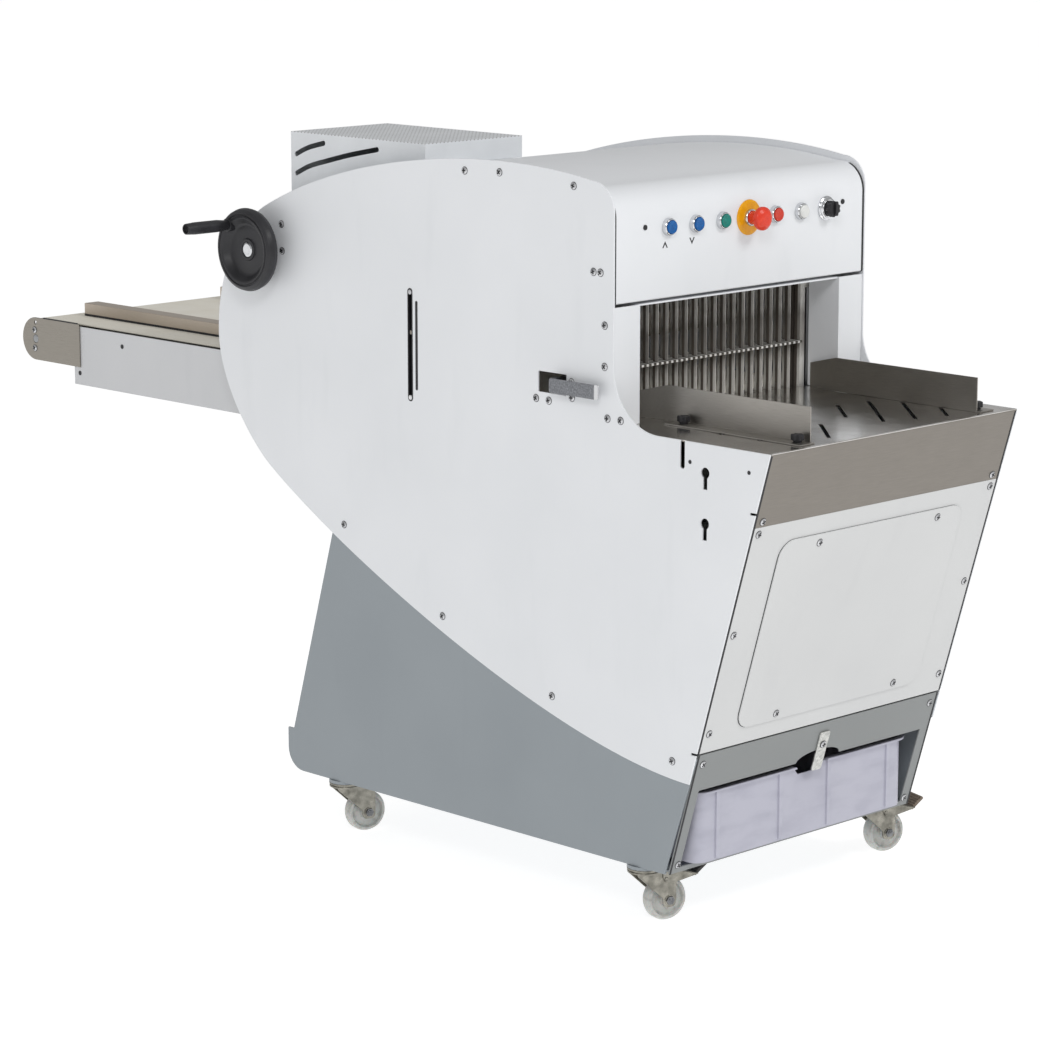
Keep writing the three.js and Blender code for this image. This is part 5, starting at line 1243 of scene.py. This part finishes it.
def star_knob_shapes(node):
    """A lobed head on a collar and a stud"""
    low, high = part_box(node)
    place = Matrix.Translation(((low.x + high.x) / 2, (low.y + high.y) / 2, high.z - knob_height * mm))
    height = knob_height - knob_lift
    rim = lobed(knob_radius, knob_lobe_depth, knob_lobes, -1, 12)
    return [
        cut_sheet([rim], height, moved(place, z=knob_lift + height / 2), knob_edge),
        rod(collar_radius, 0, knob_lift + 1, place, 32, fine_edge),
        rod(knob_stud_radius, -knob_stud_tail, 1, place, corner=fine_edge),
    ]


for name in ("left_front", "left_rear", "right_front", "right_rear"):
    knob = piece(name + "_star_knob", *star_knob_shapes(name + "_knob"))
    fit(knob, name + "_knob_body", "black_plastic", black_plastic, name + "_knob")

# The leaning front is a white panel with a screwed access cover over its window. The grey frame below
# it opens on the crumb crate, which a swinging latch of galvanised strip keeps in.
leaning_up = Vector((0, -math.sin(lean), math.cos(lean)))
leaning_out = Vector((0, -math.cos(lean), -math.sin(lean)))
front_sheet = 3
front_panel_z = (321, 712.7)
front_gap = 2.5
access_half_width = 232
access_z = (351, 680)
access_radius = 30
access_sheet = 2.5
window_margin = 30
lower_frame_z = (103, 318)
opening_half_width = 285
opening_z = (112, 251)
arch_x = 12
arch_half_width = 56
arch_height = 17
latch_pivot_z = 278
latch_width = 25
latch_above = 24
latch_below = 50
latch_sheet = 3
latch_pin_radius = 4
latch_pin_proud = 0.6
latch_screw_lift = 0.5
latch_bore_radius = 4.3
panel_corner = 1.5
cover_shadow_reach = 1.2
shade_band_top_inset = 3
access_screw_xs = (-137, 165)
access_screw_zs = (665, 363)
edge_screw_places = ((295, 701), (295, 528), (295, 355), (292, 300), (292, 118), (292, 722))


def front_point(x, z, lift=0):
    return Vector((x, front_plane_y(z), z)) + leaning_out * lift


def on_front(z, lift, x=0):
    """A drawing on the leaning front, from a height up, its middle lifted off the plane"""
    return lay((1, 0, 0), leaning_up, leaning_out, front_point(x, z, lift))


def slope(z, start):
    return (z - start) / math.cos(lean)


def front_box(half_width, low, high, start, radius=0):
    return box_outline(-half_width, half_width, slope(low, start), slope(high, start), radius)


sill = front_panel_z[0]
low, high = access_z
window = front_box(access_half_width - window_margin, low + window_margin, high - window_margin, sill,
                   access_radius / 2)
front_loops = [front_box(inside_x - front_gap, *front_panel_z, sill, panel_corner), window]
# Painted shade: the leaning front and its cover get the white paint toned darker than the side panels' white
front_shaded_paint = powder_coat("front_shaded_paint", "cfd0d0", "c4c5c6", 0.42)
front_shape = cut_sheet(front_loops, front_sheet, on_front(sill, -front_sheet / 2))
cover_shape = cut_sheet([front_box(access_half_width, low, high, low, access_radius)], access_sheet,
                        on_front(low, gap + access_sheet / 2), soft_edge)
for node, shape in (("front_panel", front_shape), ("access_cover", cover_shape)):
    fit(piece(node + "_sheet", shape), "machine", "white_paint", front_shaded_paint, node)
# Painted shadow: a dark sheet under the access cover, reaching out past its sides and lower edge, standing
# for its shadow on the panel
cover_shadow_loop = front_box(access_half_width + cover_shadow_reach, low - cover_shadow_reach, high, low,
                      access_radius + cover_shadow_reach)
black_part("access_cover_painted_shadow", cut_sheet([cover_shadow_loop], gap, on_front(low, gap / 2), thin_edge))


def lower_frame_shapes():
    low, high = lower_frame_z
    side = slope(opening_z[1], low)
    arch = [(arch_x + arch_half_width * a, side + arch_height * b) for a, b in arc(0, 0, 1, 0, math.pi, 24)]
    sill = slope(opening_z[0], low)
    half = opening_half_width
    opening = [(-half, sill), (half, sill), (half, side), *arch, (-half, side)]
    outer = front_box(inside_base_x, low, high, low, panel_corner)
    pin_place = on_front(latch_pivot_z, 0, arch_x)
    pin_top = latch_sheet + gap + latch_pin_proud
    return [
        cut_sheet([outer, opening], front_sheet, on_front(low, -front_sheet / 2), frame_edge),
        rod(latch_pin_radius, -front_sheet / 2, pin_top, pin_place, corner=plain_edge),
    ]


def latch_shape():
    half = latch_width / 2
    outline = box_outline(-half, half, -latch_below, latch_above, latch_width / 5)
    place = on_front(latch_pivot_z, gap + latch_sheet / 2, arch_x)
    return cut_sheet([outline, round_hole(0, 0, latch_bore_radius, 32)], latch_sheet, place)


def galvanised():
    """Galvanised strip with the flowers of its zinc coating"""
    strip = Finish("galvanised_strip", {"Metallic": 0.8})
    cells = strip.node("ShaderNodeTexVoronoi", {}, {"Vector": strip.spot(), "Scale": 260}, "Color")
    value = strip.node("ShaderNodeSeparateColor", {}, {"Color": cells})
    strip.colour(strip.blend(value, "b0b1ae", "d8d8d4"))
    strip.rough(strip.between(value, 0, 1, 0.3, 0.5))
    strip.raise_by(strip.noise(1.5), 0.04, 0.4)
    return strip


def milky_crate():
    """Milky polypropylene with a lilac cast, scuffed by sliding"""
    return mottled("crate_plastic", {"Metallic": 0, "IOR": 1.49}, ("b6b6c3", "a9a9b7"), (22, 6), (2, 3),
                   (0.45, 0.8), (0.34, 0.52), (0.06, 0.4), stretch=(0.3, 1, 1))


frame_grey = powder_coat("frame_grey_paint", "878a8a", "7d8080", 0.44)
lower_frame = piece("lower_frame_sheet", *lower_frame_shapes())
fit(lower_frame, "machine", "grey_paint", frame_grey, "lower_front_frame")
fit(piece("latch_strip", latch_shape()), "latch", "zinc", galvanised(), "crate_latch")
fit_copy("crate_moulding", "crumb_crate", soft_edge, "crate", "crate_plastic", milky_crate(), sharp=30)
# Painted shade: dark bands along both sides of the front panel and of the lower frame, standing for the
# shaded gaps beside the side panels
shade_bands = []
for half, low, high in ((inside_x, sill, lip_z - shade_band_top_inset), (inside_base_x, *lower_frame_z)):
    for left in (-half, half - shade_band_width):
        band = box_outline(left, left + shade_band_width, 0, slope(high, low))
        shade_bands.append(cut_sheet([band], shade_band_height, on_front(low, shade_band_height / 4), shade_sheet_edge))
black_part("front_painted_shade_bands", *shade_bands)
front_screws = [front_point(x, z, access_sheet + gap) for x in access_screw_xs for z in access_screw_zs]
front_screws += [front_point(side * x, z) for x, z in edge_screw_places for side in (-1, 1)]
front_screws += [front_point(arch_x, latch_pivot_z, gap + latch_sheet + latch_screw_lift)]
fasten("front_screws", front_screws, leaning_out)

# Seven controls in chromed rings on the hood's face: two blue, one green and one red push button, the
# red stop mushroom on its yellow disc, a clear button, and a black selector in a stepped ring.
bezel_radius = 15
bezel_height = 9
plunger_radius = 11.2
plunger_proud = 3
plunger_tail = 29
mushroom_radius = 20
mushroom_height = 16
mushroom_proud = 32
yellow_radius = 30
selector_ring_radius = 21
arrow_places = ((-192, 1129, 1), (-127, 1130, -1))
arrow_half_width = 6.5
arrow_height = 11
arrow_stroke = 2.6
selector_proud = 17
selector_radius = 14.2
selector_flutes = 9
selector_flute_depth = 2.2
pointer_half = 2.6
pointer_height = 4
pointer_sink = 0.5
selector_lift = 2
disc_height = 4
mark_sheet = 0.3


def chromed():
    """Chrome plating with faint wiping marks"""
    metal = Finish("chrome", {"Metallic": 1})
    wipes = metal.noise(8, 4, (0.3, 1, 1))
    metal.colour(metal.blend(wipes, "e2e3e5", "c6c8cb"))
    metal.rough(metal.between(wipes, 0.3, 0.8, 0.08, 0.22))
    return metal


def moulded(name, plain, deep):
    """Glossy coloured plastic with a slightly uneven body and fine moulding marks"""
    constants = {"Metallic": 0, "IOR": 1.49, "Specular IOR Level": 0.35}
    return mottled(name, constants, (plain, deep), (7, 3), (1.6, 2), (0.3, 0.7), (0.22, 0.32), (0.03, 0.3))


def ring_bore():
    inner = bezel_hole_radius
    return [(inner + 0.5, bezel_height, 0.4), (inner, bezel_height - 1), (inner, 0)]


def bezel(place):
    inner = bezel_hole_radius
    radius = bezel_radius
    return turned([
        (inner, 0), (radius, 0), (radius, 2, 0.6), (radius - 0.8, bezel_height - 1.4, 0.8),
        (radius - 2, bezel_height, 0.6), *ring_bore(),
    ], place, 64)


def pushed(head, place, steps=64):
    """A button turned from the points of its head, on the stem that all buttons share"""
    return turned([(0, -plunger_tail), (plunger_radius, -plunger_tail), *head], place, steps)


def plunger(place):
    front = bezel_height + plunger_proud
    rim = (plunger_radius, front, 1.6)
    return pushed([rim, (plunger_radius * 0.6, front - 0.5, 3), (0, front - 0.7)], place)


def mushroom(place):
    front = bezel_height + mushroom_proud
    back = front - mushroom_height
    radius = mushroom_radius
    return pushed([
        (plunger_radius, back - 1, 1), (radius - 3, back, 1), (radius, back + 3, 2), (radius, front - 6, 5),
        (radius - 7, front - 0.6, 5), (radius * 0.4, front, 4), (0, front),
    ], place, 72)


def selector_shapes(place):
    """A round black knob with flutes round its rim and a raised pointer"""
    front = bezel_height + selector_proud
    neck = selector_radius - 1
    body = pushed([(plunger_radius, bezel_height, 0.4), (neck, bezel_height + 1, 0.8),
                   (neck, bezel_height + 3), (0, bezel_height + 3)], place)
    rim = lobed(selector_radius, selector_flute_depth, selector_flutes, 1, 8)
    height = selector_proud - pointer_height - selector_lift
    grip_place = moved(place, z=bezel_height + selector_lift + height / 2)
    pointer = box_outline(-pointer_half, pointer_half, -selector_radius + 3, neck, pointer_half * 0.9)
    pointer_place = moved(place, z=front - pointer_height / 2 - pointer_sink)
    return [
        body,
        cut_sheet([rim], height, grip_place, soft_edge),
        cut_sheet([pointer], pointer_height + 2 * pointer_sink, pointer_place, soft_edge),
    ]


def selector_ring(place):
    """The wide stepped collar round the selector"""
    inner = bezel_hole_radius
    wide = selector_ring_radius
    return turned([
        (inner, 0), (wide, 0), (wide, 3, 0.8), (wide - 2, 4.2, 0.6), (wide - 2, 6.4, 0.8),
        (wide - 4.6, 7.4, 0.6), (wide - 5.4, bezel_height, 0.6), *ring_bore(),
    ], place, 72)


def yellow_plate(place):
    hole = bezel_radius - 1
    return turned([(hole, 0), (yellow_radius, 0), (yellow_radius, 1.2, 0.6), (yellow_radius - 4, 2.6, 3),
                   (hole, disc_height), (hole, 0)], place, 72)


def arrow_shape(x, z, way):
    """A thin open arrowhead that points up or down, lying on the hood's face"""
    half = arrow_half_width
    tip = arrow_height / 2 * way
    notch = tip - 1.7 * arrow_stroke * way
    outline = [(-half, -tip), (0, tip), (half, -tip), (half - arrow_stroke, -tip), (0, notch),
               (arrow_stroke - half, -tip)]
    return cut_sheet([outline], mark_sheet, towards_front(x, z, hood_face_y - mark_sheet / 2), thin_edge)


chrome = chromed()
mushroom_red = moulded("mushroom_plastic", "e8452e", "d83a26")
plain_buttons = {
    "up_button": ("blue_button", moulded("blue_plastic", "0060a8", "004c8c")),
    "down_button": ("blue_button", moulded("blue_plastic_lower", "0060a8", "004c8c")),
    "start_button": ("green_button", moulded("green_plastic", "008577", "006c62")),
    "stop_button": ("red_button", moulded("red_plastic", "d5402c", "c23323")),
    "reset_button": ("clear_button", moulded("clear_plastic", "e6e7e4", "d5d6d4")),
}
rings = []
for node, x in zip(control_nodes, control_xs):
    place = towards_front(x, control_z)
    body = node + "_body"
    if node == "selector_knob":
        rings.append(selector_ring(place))
        fit(piece("selector_handle", *selector_shapes(place)), body, "black_plastic", black_plastic, node)
        continue
    rings.append(bezel(place))
    if node == "emergency_button":
        fit(piece("stop_mushroom", mushroom(place)), body, "red_button", mushroom_red, node)
        yellow = moulded("yellow_plate", "eeaa14", "dc990a")
        fit(piece("yellow_disc", yellow_plate(place)), "machine", "red_button", yellow)
    else:
        fit(piece(node + "_cap", plunger(place)), body, *plain_buttons[node], node)
fit(piece("control_rings", *rings), "machine", "zinc", chrome)
black_part("lift_arrows", *[arrow_shape(*mark) for mark in arrow_places])

# The handwheel is a deep dished disc moulded in dark grey plastic, with a groove along its rim and a
# round silver cap in its middle. A tapered grip with a hollow end turns freely on a pin near the rim.
wheel_stand_off = 30
wheel_rim = 26
wheel_disc_radius = 75
wheel_dish = 15
hub_radius = 19
cap_radius = 13
cap_height = 3
shaft_tail = 30
grip_orbit = 59
grip_turn = math.radians(45)
grip_length = 94
grip_radius = 11
grip_pin_radius = 4
grip_waist = 9
grip_socket_radius = 7.5
grip_socket_depth = 7
grip_foot = 4
grip_swell = 22
shaft_lap = 6
pin_boss_radius = 12
pin_boss_sink = 4
pin_boss_inset = 0.4
pin_proud = 1


wheel_front = wheel_stand_off + wheel_rim
wheel_web = wheel_front - wheel_dish
wheel_place = lay((0, -1, 0), (0, 0, 1), (-1, 0, 0), (-panel_outer_x, handwheel_y, handwheel_z))
grip_place = moved(wheel_place, -grip_orbit * math.cos(grip_turn), grip_orbit * math.sin(grip_turn))


def handwheel_shapes():
    """The dished disc on its shaft, and the boss and pin of the grip"""
    back = wheel_stand_off
    front = wheel_front
    web = wheel_web
    radius = wheel_disc_radius
    disc = turned([
        (0, -shaft_tail), (shaft_radius, -shaft_tail), (shaft_radius, panel_sheet + gap - shaft_lap),
        (hub_radius, panel_sheet + gap, 1), (hub_radius, back + 6, 2), (radius - 26, back + 6.5, 4),
        (radius - 13, back, 6), (radius - 3, back + 3, 4), (radius, back + 13, 9),
        (radius - 3, front - 4, 4), (radius - 8, front - 0.6, 3), (radius - 10, front - 0.6, 0.6),
        (radius - 11, front - 2.6, 0.6), (radius - 13, front - 2.6, 0.6), (radius - 14, front - 0.5, 0.6),
        (radius - 18, front - 1.2, 4), (radius - 29, web + 1, 8), (cap_radius + 7, web, 1),
        (cap_radius + 6, web + cap_height, 0.8), (cap_radius + 1.5, web + cap_height, 0.8),
        (cap_radius + 0.6, web, 0.3), (0, web),
    ], wheel_place, 96)
    boss = rod(pin_boss_radius, web - pin_boss_sink, front - pin_boss_inset, grip_place, 48, soft_edge)
    pin_top = front + grip_length - grip_socket_depth + pin_proud
    pin = rod(grip_pin_radius, web, pin_top, grip_place, 32, frame_edge)
    return [disc, boss, pin]


def cap_shape():
    front = wheel_web + cap_height
    return turned([(0, front - 2), (cap_radius, front - 2), (cap_radius, front - 0.6, 0.5),
                   (cap_radius - 3, front + 0.4, 2), (cap_radius * 0.5, front + 0.2, 1), (0, front + 0.2)],
                  wheel_place, 64)


def grip_shape():
    """A tapered grip with a hollow end, bored for its pin"""
    start = wheel_front + gap
    end = wheel_front + grip_length
    bore = grip_pin_radius + gap
    socket = end - grip_socket_depth
    return turned([
        (bore, start), (grip_waist, start, 1), (grip_waist, start + grip_foot, 2),
        (grip_radius, start + grip_swell, 24), (grip_radius, start + grip_length * 0.78, 20),
        (grip_waist + 0.6, end, 1.4), (grip_socket_radius, end, 0.6), (grip_socket_radius, socket, 1),
        (bore, socket), (bore, start),
    ], grip_place, 56)


wheel_plastic = grained_plastic("handwheel_plastic", ("252528", "313135"), 0.42, 1.1)
wheel = piece("dished_handwheel", *handwheel_shapes())
fit(wheel, "wheel_crank", "black_plastic", wheel_plastic, "handwheel")
fit(piece("hub_cap", cap_shape()), "wheel_crank", "zinc", chrome)
fit(piece("revolving_grip", grip_shape()), "grip", "black_plastic", wheel_plastic, "crank_grip")

# The side lever is a bent steel strap welded to a pivot eye inside the left panel. It reaches out
# through its slot, dull along its length and bare at the tip.
lever_tip_y = 79
lever_tab = 9


def strap_steel():
    """Dull rolled strap with a bare bright tip"""
    strap = Finish("lever_steel", {"Metallic": 1})
    scale = strap.noise(3, 5)
    tip = machine_origin.y + (lever_tip_y + lever_tab) * mm
    dull = strap.blend(strap.between(scale, 0.3, 0.7), "8e9094", "6d6f73")
    strap.colour(strap.blend(strap.between(strap.along("Y"), tip - mm, tip), "d9dadb", dull))
    strap.rough(strap.between(scale, 0.3, 0.7, 0.26, 0.44))
    strap.raise_by(scale, 0.04, 0.4)
    return strap


fit_copy("lever_strap", "side_lever", frame_edge, "lever", "stainless", strap_steel())

# A white photographic sweep that glows a little, as over-lit paper does, under an even grey-white
# surround, with one soft box above the camera and another high in front of the machine.
floor_half_width = 90
surround_strength = 0.44
key_light_place = (-4.0, -3.7, 3.9)
key_light_target = (0, 0, 0.8)
key_light_size = (1.4, 1.4)
key_light_watts = 63
front_light_place = (0.8, -4.4, 4.4)
front_light_target = (0, -0.4, 0.8)
front_light_size = (1.6, 1.4)
front_light_watts = 76


def studio_floor():
    ground = bmesh.new()
    bmesh.ops.create_grid(ground, x_segments=1, y_segments=1, size=floor_half_width)
    mesh = bpy.data.meshes.new("studio_floor")
    ground.to_mesh(mesh)
    ground.free()
    pale = Finish("studio_floor_paint", {"Metallic": 0, "Specular IOR Level": 0.1,
                                         "Emission Strength": 0.8, "Emission Color": (1, 1, 1, 1)})
    clouds = pale.noise(900, 2)
    pale.colour(pale.blend(clouds, (0.47, 0.47, 0.47, 1), (0.44, 0.44, 0.44, 1)))
    pale.rough(pale.between(clouds, 0.3, 0.7, 0.85, 0.95))
    mesh.materials.append(pale.material)
    in_scene("studio_floor", mesh)


def soft_light(name, place, target, size, watts):
    light = bpy.data.lights.new(name, "AREA")
    light.shape = "RECTANGLE"
    light.size, light.size_y = size
    light.energy = watts
    holder = in_scene(name, light)
    holder.location = place
    holder.rotation_euler = (Vector(target) - Vector(place)).to_track_quat("-Z", "Y").to_euler()


def surround(strength):
    world = bpy.data.worlds.new("studio")
    world.use_nodes = True
    background = world.node_tree.nodes["Background"]
    background.inputs["Color"].default_value = (1, 1, 1, 1)
    background.inputs["Strength"].default_value = strength
    bpy.context.scene.world = world


studio_floor()
surround(surround_strength)
soft_light("key_light", key_light_place, key_light_target, key_light_size, key_light_watts)
soft_light("front_light", front_light_place, front_light_target, front_light_size, front_light_watts)
bpy.context.scene.view_settings.view_transform = "Standard"

# The camera stands at the photograph's place: to the left of the front, and a little above the
# machine's top, with a long lens that looks slightly down.
camera_point = (-4444, -3928, 1830)
camera_heading = math.radians(44.466)
camera_dip = math.radians(11.286)
camera_roll = math.radians(-0.0385)
lens_length = 123.13
sensor_width = 36
view_end = 200


def photograph_camera():
    data = bpy.data.cameras.new("camera")
    data.lens = lens_length
    data.sensor_width = sensor_width
    data.clip_end = view_end
    camera = in_scene("camera", data)
    camera.location = machine_place @ (Vector(camera_point) * mm)
    turn = Matrix.Rotation(-camera_heading, 4, "Z") @ Matrix.Rotation(math.pi / 2 - camera_dip, 4, "X")
    camera.rotation_euler = (turn @ Matrix.Rotation(camera_roll, 4, "Z")).to_euler()
    bpy.context.scene.camera = camera


photograph_camera()
